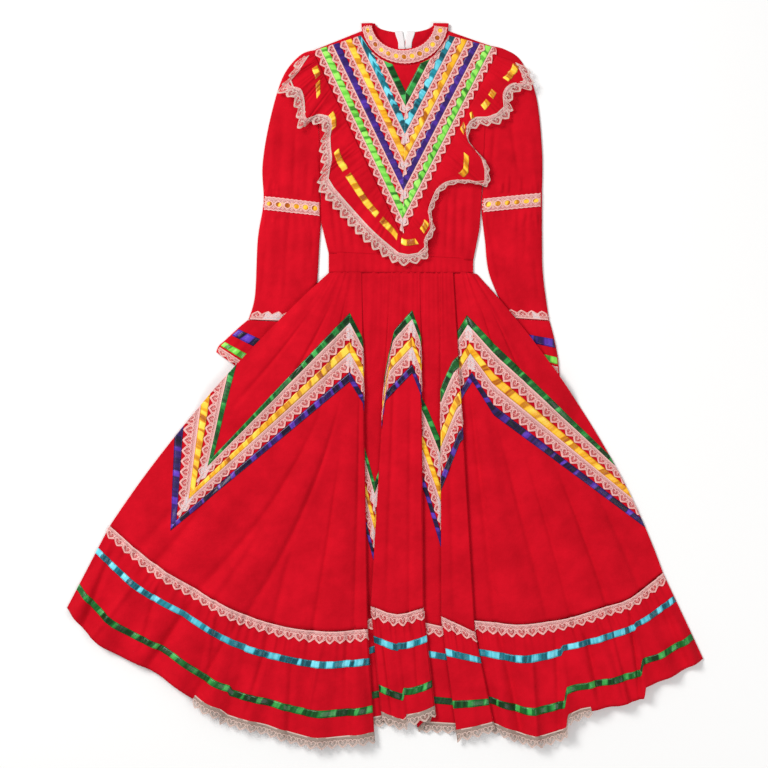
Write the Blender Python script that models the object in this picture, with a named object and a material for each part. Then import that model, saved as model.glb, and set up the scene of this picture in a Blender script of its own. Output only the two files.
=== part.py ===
"""A folklorico dress laid flat: a red cotton dress with a pointed ribbon yoke, a gathered bertha
ruffle, long sleeves with flounced cuffs and a full skirt trimmed with zigzag bands.

X runs across the dress, Y from the hem to the neck and Z up from the surface it lies on.
Every table is in millimetres; the meshes are made in metres.
"""
from collections import namedtuple
from math import cos, hypot, pi, sin, sqrt

import bpy
import numpy as np

for thing in list(bpy.data.objects):
    bpy.data.objects.remove(thing, do_unlink=True)

MM = 0.001

# Walls and gaps
CLOTH = 1.2
TRIM = 1.0
LIFT = 0.45
SEAM_GAP = 0.5
ROW_INSET = 0.3
HALF_CLOTH = CLOTH / 2
TRIM_LOW = HALF_CLOTH + LIFT
TRIM_HIGH = TRIM_LOW + TRIM

# Levels of the cloth's middle surface above the surface that the dress lies on
BACK_LEVEL = HALF_CLOTH
EDGE_LEVEL = 2.8
BODICE_LEVEL = 5.6
OUTER_TURN = 1.1
INNER_TURN = 2.7
LOW_LEAF = 4.4
TOP_LEAF = LOW_LEAF + 2 * OUTER_TURN + 2 * INNER_TURN

# Trim widths
RIBBON = 12.6
YOKE_LACE = 9.4

# Finishes: base colour and roughness
Finish = namedtuple("Finish", "name colour roughness")
COTTON = Finish("red_cotton", (0.60, 0.010, 0.018), 0.75)
WHITE_LACE = Finish("cotton_lace", (0.80, 0.66, 0.64), 0.80)
GOLD = Finish("gold_satin", (0.85, 0.45, 0.02), 0.35)
TURQUOISE = Finish("turquoise_satin", (0.03, 0.48, 0.60), 0.35)
GREEN = Finish("green_satin", (0.02, 0.25, 0.05), 0.35)
LIME = Finish("lime_satin", (0.20, 0.62, 0.09), 0.35)
PURPLE = Finish("purple_satin", (0.07, 0.03, 0.20), 0.35)
ZIP_TAPE = Finish("zip_tape", (0.80, 0.78, 0.74), 0.60)


def surface(finish):
    """The Principled material of a finish, made once and shared."""
    made = bpy.data.materials.get(finish.name)
    if made:
        return made
    made = bpy.data.materials.new(finish.name)
    made.use_nodes = True
    shader = made.node_tree.nodes["Principled BSDF"]
    shader.inputs["Base Color"].default_value = (*finish.colour, 1)
    shader.inputs["Roughness"].default_value = finish.roughness
    return made


def normals_of(grid, ring=False):
    """Normals of a grid of points, each the mean of its faces weighted by their area."""
    columns = grid.shape[0]
    total = np.zeros(grid.shape)
    for i in range(columns if ring else columns - 1):
        k = (i + 1) % columns
        for j in range(grid.shape[1] - 1):
            face = np.cross(grid[k, j + 1] - grid[i, j], grid[k, j] - grid[i, j + 1])
            for a, b in ((i, j), (k, j), (i, j + 1), (k, j + 1)):
                total[a, b] += face
    lengths = np.linalg.norm(total, axis=2, keepdims=True)
    return total / np.maximum(lengths, 1e-9)


def slab(name, finish, grid, low, high, normals=None, keep=None, ring=False):
    """One closed piece: a grid of points moved out along its normals to two faces.

    keep says which cells of the grid are cloth, so the others are cut through.
    ring joins the last column to the first, as in a tube.
    """
    if normals is None:
        normals = normals_of(grid, ring)
    columns, rows = grid.shape[:2]
    cells = columns if ring else columns - 1
    if keep is None:
        keep = np.ones((cells, rows - 1), dtype=bool)
    points = []
    numbers = {}

    def corner(i, j, side):
        key = (i % columns, j, side)
        if key not in numbers:
            numbers[key] = len(points)
            reach = high if side else low
            points.append(tuple((grid[key[0], j] + normals[key[0], j] * reach) * MM))
        return numbers[key]

    faces = []
    for i in range(cells):
        for j in range(rows - 1):
            if not keep[i, j]:
                continue
            loop = [(i, j), (i, j + 1), (i + 1, j + 1), (i + 1, j)]
            for half in ((0, 1, 2), (0, 2, 3)):
                faces.append([corner(*loop[k], 1) for k in half])
                faces.append([corner(*loop[k], 0) for k in reversed(half)])
            left = i - 1 if i > 0 else (cells - 1 if ring else None)
            right = i + 1 if i + 1 < cells else (0 if ring else None)
            open_sides = (
                left is None or not keep[left, j],
                j + 2 > rows - 1 or not keep[i, j + 1],
                right is None or not keep[right, j],
                j == 0 or not keep[i, j - 1],
            )
            for number, is_open in enumerate(open_sides):
                if is_open:
                    a, b = loop[number], loop[(number + 1) % 4]
                    faces.append([corner(*b, 1), corner(*a, 1), corner(*a, 0), corner(*b, 0)])
    mesh = bpy.data.meshes.new(name)
    mesh.from_pydata(points, [], faces)
    mesh.materials.append(surface(finish))
    piece = bpy.data.objects.new(name, mesh)
    bpy.context.scene.collection.objects.link(piece)
    return piece


class Panel:
    """A grid of cloth that trims are laid on: along its columns at, across its rows down."""

    def __init__(self, at, down, grid, ring=False):
        self.at = np.array(at, dtype=float)
        self.down = np.array(down, dtype=float)
        self.grid = grid
        self.ring = ring
        self.normals = normals_of(grid, ring)

    def read(self, values, at, down):
        """The values at a place on the triangles between the grid's columns and rows."""
        i = min(max(int(np.searchsorted(self.at, at)) - 1, 0), len(self.at) - 2)
        j = min(max(int(np.searchsorted(self.down, down)) - 1, 0), len(self.down) - 2)
        s = (at - self.at[i]) / (self.at[i + 1] - self.at[i])
        t = (down - self.down[j]) / (self.down[j + 1] - self.down[j])
        start, end = values[i, j], values[i + 1, j + 1]
        if t > s:
            return start * (1 - t) + values[i, j + 1] * (t - s) + end * s
        return start * (1 - s) + values[i + 1, j] * (s - t) + end * t

    def cloth(self, name, rows=None):
        """The panel itself, half a wall to each side of its grid, or its first rows of cells."""
        rows = slice(None) if rows is None else slice(0, rows + 1)
        return slab(name, COTTON, self.grid[:, rows], -HALF_CLOTH, HALF_CLOTH,
                    self.normals[:, rows], ring=self.ring)

    def row_strip(self, name, finish, row, low=TRIM_LOW, high=TRIM_HIGH, inside=ROW_INSET):
        """A strip that follows one of the panel's rows of cells, a little inside its edges."""
        start, run = self.grid[:, row], self.grid[:, row + 1] - self.grid[:, row]
        inset = inside / np.linalg.norm(run, axis=1, keepdims=True)
        grid = np.stack((start + run * inset, start + run * (1 - inset)), axis=1)
        return slab(name, finish, grid, low, high, self.normals[:, row:row + 2])

    def trim(self, name, finish, stations, top, bottom, extra=0.0, keep=None, steps=(0, 1)):
        """A strip laid on the panel between two lines, top(at) and bottom(at)."""
        grid = np.zeros((len(stations), len(steps), 3))
        normals = np.zeros(grid.shape)
        for i, at in enumerate(stations):
            for j, t in enumerate(steps):
                down = top(at) * (1 - t) + bottom(at) * t
                grid[i, j] = self.read(self.grid, at, down)
                normal = self.read(self.normals, at, down)
                normals[i, j] = normal / np.linalg.norm(normal)
        return slab(name, finish, grid, TRIM_LOW + extra, TRIM_HIGH + extra, normals, keep)


def curve_through(points, at):
    """A smooth curve through points numbered 0, 1, 2 and so on."""
    last = len(points) - 1
    if last == 1:
        return points[0] * (1 - at) + points[1] * at
    i = min(int(at), last - 1)
    t = at - i
    before, start = points[max(i - 1, 0)], points[i]
    end, after = points[i + 1], points[min(i + 2, last)]
    return 0.5 * (
        2 * start
        + (end - before) * t
        + (2 * before - 5 * start + 4 * end - after) * t ** 2
        + (3 * start - before - 3 * end + after) * t ** 3
    )


def ease(value):
    """A smooth step from 0 to 1."""
    value = min(max(value, 0.0), 1.0)
    return value * value * (3 - 2 * value)


# The skirt's front, one cloth folded into leaves that lie over each other. Each rib is a line
# down the cloth, from the waist by way of the flounce's seam to the hem.
Rib = namedtuple("Rib", "waist_x waist_y bow seam_x seam_y hem_x hem_y height")
LEAVES = {
    "left": (
        Rib(-104, 207, -25, -509, -261, -592, -420, EDGE_LEVEL),
        Rib(-96, 208, -19, -431, -326, -531, -487, 9),
        Rib(-87, 209, -13, -350, -376, -426, -540, 11),
        Rib(-76, 209, -8, -268, -420, -327, -609, 12),
        Rib(-65, 209, -4, -187, -446, -224, -642, 12),
        Rib(-54, 209, 0, -111, -455, -130, -668, 12),
        Rib(-43, 209, 0, -33, -451, -20, -659, TOP_LEAF),
    ),
    "left_gap": (
        Rib(-52, 209, 0, -61, -448, -50, -636, LOW_LEAF),
        Rib(22, 209, 0, 2, -420, 28, -624, LOW_LEAF),
    ),
    "middle": (
        Rib(11, 209, 0, -25, -409, -4, -620, TOP_LEAF),
        Rib(39, 209, 0, 22, -424, 43, -631, TOP_LEAF),
        Rib(65, 209, 0, 70, -412, 92, -612, TOP_LEAF),
    ),
    "right_gap": (
        Rib(54, 209, 0, 41, -433, 61, -640, LOW_LEAF),
        Rib(113, 209, 0, 133, -453, 157, -644, LOW_LEAF),
    ),
    "narrow": (
        Rib(102, 209, 0, 105, -428, 135, -657, TOP_LEAF),
        Rib(126, 209, 0, 165, -456, 202, -638, TOP_LEAF),
    ),
    "right": (
        Rib(116, 209, 0, 140, -433, 168, -631, LOW_LEAF),
        Rib(131, 209, 0, 176, -437, 206, -642, 5),
        Rib(141, 209, 4, 250, -442, 285, -660, 11),
        Rib(149, 208, 10, 326, -433, 376, -616, 12),
        Rib(156, 207, 18, 389, -414, 453, -590, 12),
        Rib(163, 206, 28, 451, -394, 525, -553, 9),
        Rib(170, 205, 38, 514, -348, 592, -516, EDGE_LEVEL),
    ),
}

# How each leaf that shows is gathered: the rib where its gathers begin, those below the waist,
# the waves in its flounce, and the heights of both
Gathering = namedtuple("Gathering", "start gathers gather_height waves wave_height")
GATHERING = {
    "left": Gathering(0, 4, 3.0, 8, 8.0),
    "middle": Gathering(0, 2, 3.0, 2, 5.0),
    "narrow": Gathering(0, 1, 2.0, 1, 4.0),
    "right": Gathering(1, 4, 3.0, 7, 8.0),
}

# Long soft folds that run down a leaf: across is counted in ribs
SoftFold = namedtuple("SoftFold", "leaf across_top down_top across_bottom down_bottom width height")
SOFT_FOLDS = (
    SoftFold("left", 4.7, 0.30, 2.6, 1.0, 0.45, 7.0),
    SoftFold("left", 2.4, 0.55, 1.4, 1.0, 0.35, 6.0),
    SoftFold("left", 5.4, 0.30, 5.2, 1.0, 0.30, 5.0),
    SoftFold("right", 1.7, 0.25, 2.0, 1.0, 0.35, 6.0),
    SoftFold("right", 3.6, 0.35, 3.8, 1.0, 0.40, 6.0),
    SoftFold("right", 4.6, 0.45, 4.9, 1.0, 0.35, 6.0),
)
SIDE_ROUND = 26.0

# Where the skirt passes over a cuff: a hump along a line, with its width and height
Hump = namedtuple("Hump", "start_x start_y end_x end_y plateau slope height")
HUMPS = (
    Hump(-172, 105, -262, 25, 52, 62, 8.6),
    Hump(231, 93, 272, 25, 50, 50, 8.6),
)
FRONT_EXTRA = 4.0


def hump(x, y, extra=0.0):
    """How far the skirt is raised at a place by the cuffs under it."""
    raised = 0.0
    for row in HUMPS:
        run = np.array((row.end_x - row.start_x, row.end_y - row.start_y))
        away = np.array((x - row.start_x, y - row.start_y))
        along = min(max(float(away @ run) / float(run @ run), 0), 1)
        distance = hypot(*(away - run * along))
        fade = ease(1 - (distance - row.plateau - 2 * extra) / (row.slope + extra))
        raised = max(raised, (row.height + extra) * fade)
    return raised


def rib_place(rib, down):
    """A rib's X and Y: down is 0 at the waist, 1 at the flounce's seam and 2 at the hem."""
    if down <= 1:
        bow = rib.bow * 4 * down * (1 - down)
        return np.array((
            rib.waist_x + (rib.seam_x - rib.waist_x) * down + bow,
            rib.waist_y + (rib.seam_y - rib.waist_y) * down,
        ))
    past = down - 1
    return np.array((
        rib.seam_x + (rib.hem_x - rib.seam_x) * past,
        rib.seam_y + (rib.hem_y - rib.seam_y) * past,
    ))


def leaf_place(leaf, across, down):
    """The X and Y of a place on a leaf."""
    return curve_through([rib_place(rib, down) for rib in LEAVES[leaf]], across)


def leaf_height(leaf, across, down):
    """The height of a place on a leaf: its ribs' heights, gathers, soft folds and waves."""
    ribs = LEAVES[leaf]
    i = min(int(across), len(ribs) - 2)
    height = ribs[i].height + (ribs[i + 1].height - ribs[i].height) * ease(across - i)
    span = len(ribs) - 1
    row = GATHERING.get(leaf)
    if row and across > row.start:
        turned = 2 * pi * (across - row.start) / (span - row.start)
        fade = 1 - ease(down / 0.45)
        height += row.gather_height * fade * (1 - cos(row.gathers * turned)) / 2
        growth = ease((down - 1) / 0.8)
        height += row.wave_height * growth * (1 - cos(row.waves * turned)) / 2
    for fold in SOFT_FOLDS:
        if fold.leaf != leaf or down < fold.down_top:
            continue
        along = min((down - fold.down_top) / (fold.down_bottom - fold.down_top), 1)
        centre = fold.across_top + (fold.across_bottom - fold.across_top) * along
        fade = ease(along / 0.4) * (1 - 0.7 * ease((down - 1) / 0.6))
        height += fold.height * fade * np.exp(-((across - centre) / fold.width) ** 2)
    side = {"left": 0.0, "right": float(span)}.get(leaf)
    if side is not None:
        distance = hypot(*(leaf_place(leaf, across, down) - leaf_place(leaf, side, down)))
        near = 1 - min(distance / SIDE_ROUND, 1)
        height = EDGE_LEVEL + (height - EDGE_LEVEL) * sqrt(1 - near ** 2)
    return height


def turn(top_edge, fold_line, side):
    """The five points by which a top leaf turns under at its edge, goes back to the hidden fold
    and turns again into the leaf below. side is 1 where the edge is the top leaf's right one."""
    return [
        (top_edge[0], top_edge[1], TOP_LEAF - OUTER_TURN),
        (top_edge[0] - side * OUTER_TURN, top_edge[1], TOP_LEAF - 2 * OUTER_TURN),
        (fold_line[0] + side * INNER_TURN, fold_line[1], LOW_LEAF + 2 * INNER_TURN),
        (fold_line[0], fold_line[1], LOW_LEAF + INNER_TURN),
        (fold_line[0] + side * INNER_TURN, fold_line[1], LOW_LEAF),
    ]


TURN_POINTS = 5
TURN_STEP = 0.1
TOP_LEAVES = ("left", "middle", "narrow")
LEAF_ORDER = list(LEAVES)
LEAF_START = {}
SPAN = {leaf: len(ribs) - 1 for leaf, ribs in LEAVES.items()}
skirt_end = 0.0
for leaf_name in LEAF_ORDER:
    LEAF_START[leaf_name] = skirt_end
    skirt_end += SPAN[leaf_name] + TURN_STEP * (TURN_POINTS + 1)
skirt_end -= TURN_STEP * (TURN_POINTS + 1)


def leaf_point(leaf, across, down):
    """A point of a leaf's middle surface. A top leaf stops short of its edge by the turn."""
    x, y = leaf_place(leaf, across, down)
    if leaf in TOP_LEAVES and across == SPAN[leaf]:
        x -= OUTER_TURN
    if leaf in TOP_LEAVES and across == 0 and leaf != LEAF_ORDER[0]:
        x += OUTER_TURN
    return x, y, leaf_height(leaf, across, down)


def front_point(at, down):
    """A point of the whole front, counted in ribs from its left side through every fold."""
    for number, leaf in enumerate(LEAF_ORDER):
        across = at - LEAF_START[leaf]
        if across <= SPAN[leaf] + 1e-6:
            x, y, z = leaf_point(leaf, min(max(across, 0.0), float(SPAN[leaf])), down)
            break
        step = round((across - SPAN[leaf]) / TURN_STEP) - 1
        if step < TURN_POINTS:
            after = LEAF_ORDER[number + 1]
            here, there = leaf_place(leaf, SPAN[leaf], down), leaf_place(after, 0, down)
            if leaf in TOP_LEAVES:
                x, y, z = turn(here, there, 1)[step]
            else:
                x, y, z = turn(there, here, -1)[TURN_POINTS - 1 - step]
            break
    return x, y, z + hump(x, y, FRONT_EXTRA)


def stations_of(columns):
    """The place of every column along the whole front, its hidden turns too."""
    stations = []
    for leaf in LEAF_ORDER:
        stations += [LEAF_START[leaf] + across for across in columns[leaf]]
        if leaf != LEAF_ORDER[-1]:
            edge = LEAF_START[leaf] + SPAN[leaf]
            stations += [edge + TURN_STEP * (k + 1) for k in range(TURN_POINTS)]
    return stations


def spread(start, end, count):
    """Evenly spaced numbers, both ends among them."""
    return [start + (end - start) * k / (count - 1) for k in range(count)]


# The skirt's zigzag: corners of its top ribbon's middle line and of its bottom one's, measured
# on the leaf that shows them. A turning corner is a peak or a valley.
Corner = namedtuple("Corner", "leaf turning top_x top_y bottom_x bottom_y")
ZIGZAG = (
    Corner("left", False, -281, 30, -381, -91),
    Corner("left", True, -322, -141, -390, -259),
    Corner("left", True, -65, 124, -65, 15),
    Corner("left", False, -41, 78, -39, -28),
    Corner("left_gap", True, -19, -190, -19, -322),
    Corner("middle", False, 16, 92, 2, -20),
    Corner("middle", True, 50, 130, 50, 30),
    Corner("middle", False, 67, 83, 66, -10),
    Corner("right_gap", False, 76, -50, 74, -190),
    Corner("right_gap", True, 103, -115, 103, -285),
    Corner("narrow", False, 107, -7, 107, -172),
    Corner("narrow", False, 126, 35, 137, -96),
    Corner("right", True, 152, 120, 161, 15),
    Corner("right", False, 200, 67, 200, -46),
    Corner("right", False, 413, -133, 475, -253),
)
ZIGZAG_TAPE = 76.0
HALF_RIBBON_SHARE = RIBBON / 2 / ZIGZAG_TAPE
HALF_YELLOW_SHARE = 7.0 / ZIGZAG_TAPE
ZIGZAG_SHARES = (
    -HALF_RIBBON_SHARE, HALF_RIBBON_SHARE, 0.5 - HALF_YELLOW_SHARE,
    0.5 + HALF_YELLOW_SHARE, 1 - HALF_RIBBON_SHARE, 1 + HALF_RIBBON_SHARE,
)


def find_on_leaf(leaf, x, y):
    """The place on a leaf, across and down, that lies at X and Y."""
    across, down = SPAN[leaf] / 2, 0.5
    small = 1e-4
    for _ in range(40):
        here = leaf_place(leaf, across, down)
        by_across = (leaf_place(leaf, across + small, down) - here) / small
        by_down = (leaf_place(leaf, across, down + small) - here) / small
        step = np.linalg.solve(np.column_stack((by_across, by_down)), np.array((x, y)) - here)
        across = min(max(across + step[0], 0), SPAN[leaf] - small)
        down = min(max(down + step[1], 0.02), 0.99)
    return across, down


def crossing(leaf, across, place, run):
    """How far down a rib crosses the straight line from a place along run."""
    low, high = 0.0, 1.0
    for _ in range(30):
        middle = (low + high) / 2
        away = leaf_place(leaf, across, middle) - place
        if run[0] * away[1] - run[1] * away[0] > 0:
            low = middle
        else:
            high = middle
    return (low + high) / 2


class ZigzagLine:
    """A line of the zigzag: share 0 is its top ribbon's middle and 1 its bottom ribbon's. Where
    it shows it is straight between its corners; through hidden folds it follows the cloth."""

    def __init__(self, share):
        self.turnings = []
        self.places = []
        for row in ZIGZAG:
            x = row.top_x + (row.bottom_x - row.top_x) * share
            y = row.top_y + (row.bottom_y - row.top_y) * share
            across, down = find_on_leaf(row.leaf, x, y)
            at = LEAF_START[row.leaf] + across
            self.places.append((row.leaf, at, down, np.array((x, y))))
            if row.turning:
                self.turnings.append(at)
        ends = [(LEAF_START[leaf], LEAF_START[leaf] + SPAN[leaf]) for leaf in LEAF_ORDER]
        self.knots = sorted(self.turnings + [end for pair in ends for end in pair])

    def down(self, at):
        """How far down the cloth the line lies. It doesn't change inside a fold's turns."""
        places = self.places
        for leaf in LEAF_ORDER[:-1]:
            edge = LEAF_START[leaf] + SPAN[leaf]
            step = round((at - edge) / TURN_STEP)
            if not (at > edge + TURN_STEP / 2 and step <= TURN_POINTS):
                continue
            if leaf in TOP_LEAVES:
                at = edge if step < 3 else edge + TURN_STEP * 3
            else:
                at = edge + TURN_STEP * (3 if step < 4 else TURN_POINTS + 1)
            break
        after = next((k for k, place in enumerate(places) if place[1] > at), len(places) - 1)
        after = max(after, 1)
        (leaf, start, down, place), (next_leaf, end, next_down, next_place) = (
            places[after - 1], places[after])
        if leaf == next_leaf:
            across = min(max(at - LEAF_START[leaf], 0.0), float(SPAN[leaf]))
            return crossing(leaf, across, place, next_place - place)
        share = min(max((at - start) / (end - start), 0), 1)
        return down + (next_down - down) * share


zigzag_lines = [ZigzagLine(share) for share in ZIGZAG_SHARES]
middle_line = ZigzagLine(0.5)

NEAR_SIDE = [0.0, 0.04, 0.14]
SKIRT_COLUMNS = {
    "left": NEAR_SIDE + spread(0.5, 6.0, 12),
    "left_gap": [],
    "middle": spread(0.0, 2.0, 7),
    "right_gap": [],
    "narrow": spread(0.0, 1.0, 3),
    "right": [0.4] + spread(1.0, 6 - 5 / 12, 12) + [6 - a for a in reversed(NEAR_SIDE)],
}
skirt_stations = sorted(middle_line.turnings + [
    at for at in stations_of(SKIRT_COLUMNS)
    if min(abs(at - turning) for turning in middle_line.turnings) > 0.09
])
ABOVE_ZIGZAG = (0.0, 0.33, 0.67)
BELOW_ZIGZAG = (0.5, 1.0)
SKIRT_BOTTOM = 1.0 - SEAM_GAP / 660


def skirt_grid():
    """The skirt front's points. Its rows run along the zigzag's lines, and its columns bend to
    pass through their corners."""
    columns = []
    for at in skirt_stations:
        tops = [line.down(float(np.interp(at, middle_line.knots, line.knots)))
                for line in (zigzag_lines[0], zigzag_lines[-1])]
        column = [front_point(at, tops[0] * share) for share in ABOVE_ZIGZAG]
        for line in zigzag_lines:
            moved = float(np.interp(at, middle_line.knots, line.knots))
            column.append(front_point(moved, line.down(moved)))
        for share in BELOW_ZIGZAG:
            column.append(front_point(at, tops[1] + (SKIRT_BOTTOM - tops[1]) * share))
        columns.append(column)
    return np.array(columns)


skirt_rows = range(len(ABOVE_ZIGZAG) + len(ZIGZAG_SHARES) + len(BELOW_ZIGZAG))
skirt_front = Panel(skirt_stations, skirt_rows, skirt_grid())
skirt_front.cloth("skirt_front")

ZIGZAG_BANDS = (
    ("zigzag_green_ribbon", GREEN),
    ("zigzag_upper_lace", WHITE_LACE),
    ("zigzag_yellow_ribbon", GOLD),
    ("zigzag_lower_lace", WHITE_LACE),
    ("zigzag_purple_ribbon", PURPLE),
)
for number, (band_name, finish) in enumerate(ZIGZAG_BANDS):
    row = len(ABOVE_ZIGZAG) + number
    skirt_front.row_strip(band_name, finish, row)

FLOUNCE_COLUMNS = {
    "left": NEAR_SIDE + spread(0.25, 6.0, 24),
    "left_gap": [0.5],
    "middle": spread(0.0, 2.0, 7),
    "right_gap": [0.5],
    "narrow": spread(0.0, 1.0, 4),
    "right": [0.5] + spread(1.0, 6 - 5 / 21, 21) + [6 - a for a in reversed(NEAR_SIDE)],
}
FLOUNCE_CLOTH_END = 1.95
FLOUNCE_DOWNS = [1.0 + SEAM_GAP / 200, 1.3, 1.65, FLOUNCE_CLOTH_END]
flounce_stations = stations_of(FLOUNCE_COLUMNS)
flounce = Panel(flounce_stations, FLOUNCE_DOWNS, np.array(
    [[front_point(at, down) for down in FLOUNCE_DOWNS] for at in flounce_stations]))
flounce.cloth("flounce_front")


# Bands round the flounce, by their distance down it and the stretch that they cover
Band = namedtuple("Band", "name finish top bottom start end")
HEM_LACE_START, HEM_LACE_END = 2.7, LEAF_START["right"] + 3.1
SEAM_LACE_EXTRA = 0.3
FLOUNCE_BANDS = (
    Band("seam_lace", WHITE_LACE, 1.006, 1.11, 0.0, skirt_end),
    Band("flounce_turquoise_ribbon", TURQUOISE, 1.25, 1.313, 0.0, skirt_end),
    Band("flounce_green_ribbon", GREEN, 1.67, 1.735, 0.0, skirt_end),
    Band("hem_lace", WHITE_LACE, 1.905, 2.0, HEM_LACE_START, HEM_LACE_END),
)
for band in FLOUNCE_BANDS:
    flounce.trim(
        band.name, band.finish,
        [at for at in flounce.at if band.start <= at <= band.end],
        lambda at, line=band.top: line,
        lambda at, line=band.bottom: line,
        SEAM_LACE_EXTRA if band.name == "seam_lace" else 0.0,
    )


# The skirt's back, in two halves with the zip's opening and seam between them, and its flounce
CENTRE_X = 37.0
BACK_DOWNS = [0.0, 0.08, 0.16, 0.24, 0.32, 0.4, 0.48, 0.56, 0.66, 0.8, 1.0 - SEAM_GAP / 660]


def back_place(share, down):
    """A place on the skirt's back: share is 0 at the left side, 0.5 at the middle, 1 at right."""
    left, right = rib_place(LEAVES["left"][0], down), rib_place(LEAVES["right"][-1], down)
    deepest = {0: 209.0, 1: -440.0, 2: -628.0}
    depth = float(np.interp(down, list(deepest), list(deepest.values())))
    middle = np.array((CENTRE_X if down < 1 else CENTRE_X * (2 - down), depth))
    if share < 0.5:
        side, t = left, share * 2
    else:
        side, t = right, 2 - share * 2
    x = side[0] + (middle[0] - side[0]) * t
    y = side[1] + (middle[1] - side[1]) * sin(t * pi / 2)
    return x, y


def back_grid(shares, downs):
    """The back's grid: flat on the surface but for the humps over the cuffs."""
    rows = []
    for share in shares:
        rows.append([(x, y, BACK_LEVEL + hump(x, y))
                     for x, y in (back_place(share, down) for down in downs)])
    return np.array(rows, dtype=float)


def part_halves(grid, left):
    """Moves a half's middle edge off the centre line by half a seam's gap."""
    edge = -1 if left else 0
    grid[edge, :, 0] += (-1 if left else 1) * SEAM_GAP / 2
    return grid


HALF_SHARES = [0, 0.05, 0.11, 0.18, 0.26, 0.35, 0.5]
Panel(HALF_SHARES, BACK_DOWNS,
      part_halves(back_grid(HALF_SHARES, BACK_DOWNS), True)).cloth("skirt_back_l")
RIGHT_SHARES = [1 - share for share in reversed(HALF_SHARES)]
Panel(RIGHT_SHARES, BACK_DOWNS,
      part_halves(back_grid(RIGHT_SHARES, BACK_DOWNS), False)).cloth("skirt_back_r")
FLOUNCE_BACK_DOWNS = [1.0 + SEAM_GAP / 200, 1.5, 1.93]
BACK_SHARES = spread(0, 1, 25)
Panel(BACK_SHARES, FLOUNCE_BACK_DOWNS,
      back_grid(BACK_SHARES, FLOUNCE_BACK_DOWNS)).cloth("flounce_back")


# The waistband: a front strip and two back ones, between the skirt and the bodice
WAIST_LEFT, WAIST_RIGHT = -104.0, 163.0
WAIST_BOTTOM = 210.5
BAND_TOP_LEFT, BAND_TOP_RIGHT = 246.0, 233.0
BAND_SHARES = (0.0, 0.08, 0.5, 0.92, 1.0)


def waistband(name, shares, top_level, bottom_level, end_level):
    """A strip of the waistband, from the bodice's level at its top to the skirt's at its bottom,
    its ends dipping where they meet the other side."""
    grid = []
    for share in shares:
        x = WAIST_LEFT + (WAIST_RIGHT - WAIST_LEFT) * share
        if name.endswith("_l") and share == 0.5:
            x -= SEAM_GAP / 2
        if name.endswith("_r") and share == 0.5:
            x += SEAM_GAP / 2
        top = BAND_TOP_LEFT + (BAND_TOP_RIGHT - BAND_TOP_LEFT) * share
        at_end = share in (0.0, 1.0)
        grid.append([(x, top, end_level if at_end else top_level),
                     (x, WAIST_BOTTOM, end_level if at_end else bottom_level)])
    slab(name, COTTON, np.array(grid), -HALF_CLOTH, HALF_CLOTH)


waistband("waistband_front", BAND_SHARES, BODICE_LEVEL, TOP_LEAF, EDGE_LEVEL)
waistband("waistband_back_l", BAND_SHARES[:3], BACK_LEVEL, BACK_LEVEL, BACK_LEVEL)
waistband("waistband_back_r", BAND_SHARES[2:], BACK_LEVEL, BACK_LEVEL, BACK_LEVEL)

# The bodice: its side edges, from the shoulder's tip by the underarm to the waist
SideEdge = namedtuple("SideEdge", "down left_x right_x")
BODICE_SIDES = (
    SideEdge(0.00, -128, 194),
    SideEdge(0.35, -122, 186),
    SideEdge(0.64, -119, 180),
    SideEdge(0.85, -118, 175),
    SideEdge(1.00, WAIST_LEFT, WAIST_RIGHT),
)
UNDERARM_DOWN = 0.64
LEFT_TIP, RIGHT_TIP = (-128, 620), (194, 627)
NECK_X, NECK_Y = 37.0, 668.0
NECK_WIDE, FRONT_NECK_DEEP, BACK_NECK_DEEP = 81.0, 77.0, 51.0
NECK_STEP = 15.0
NECK_START = NECK_STEP
SHOULDER_SHARE = 0.26
SHOULDER_LEVEL = BODICE_LEVEL - CLOTH - 0.9


def bodice_top(share, deep):
    """A point of the bodice's top edge: a shoulder, the neck's curve, the other shoulder."""
    neck_angle = pi * NECK_START / 180
    ends = []
    for angle in (pi - neck_angle, neck_angle):
        ends.append((NECK_X + NECK_WIDE * cos(angle), NECK_Y - deep * sin(angle)))
    if share <= SHOULDER_SHARE:
        t = share / SHOULDER_SHARE
        return tuple(a + (b - a) * t for a, b in zip(LEFT_TIP, ends[0]))
    if share >= 1 - SHOULDER_SHARE:
        t = (1 - share) / SHOULDER_SHARE
        return tuple(a + (b - a) * t for a, b in zip(RIGHT_TIP, ends[1]))
    t = (share - SHOULDER_SHARE) / (1 - 2 * SHOULDER_SHARE)
    angle = pi - neck_angle - t * (pi - 2 * neck_angle)
    return NECK_X + NECK_WIDE * cos(angle), NECK_Y - deep * sin(angle)


def bodice_place(share, down, deep):
    """A place on the bodice, across and down."""
    top = bodice_top(share, deep)
    bottom_x = WAIST_LEFT + (WAIST_RIGHT - WAIST_LEFT) * share
    bottom_y = BAND_TOP_LEFT + (BAND_TOP_RIGHT - BAND_TOP_LEFT) * share + SEAM_GAP
    downs = [row.down for row in BODICE_SIDES]
    x = top[0] + (bottom_x - top[0]) * down
    for side, tip_x, end_x, weight in (
        ([row.left_x for row in BODICE_SIDES], LEFT_TIP[0], WAIST_LEFT, 1 - share),
        ([row.right_x for row in BODICE_SIDES], RIGHT_TIP[0], WAIST_RIGHT, share),
    ):
        bow = float(np.interp(down, downs, side)) - (tip_x + (end_x - tip_x) * down)
        x += bow * weight ** 3
    return x, top[1] + (bottom_y - top[1]) * down


def armhole_level(down):
    """The height of the bodice's side edge: high round the armhole, low down the side seam."""
    return BODICE_LEVEL - (BODICE_LEVEL - EDGE_LEVEL) * ease((down / UNDERARM_DOWN - 0.72) / 0.28)


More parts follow.
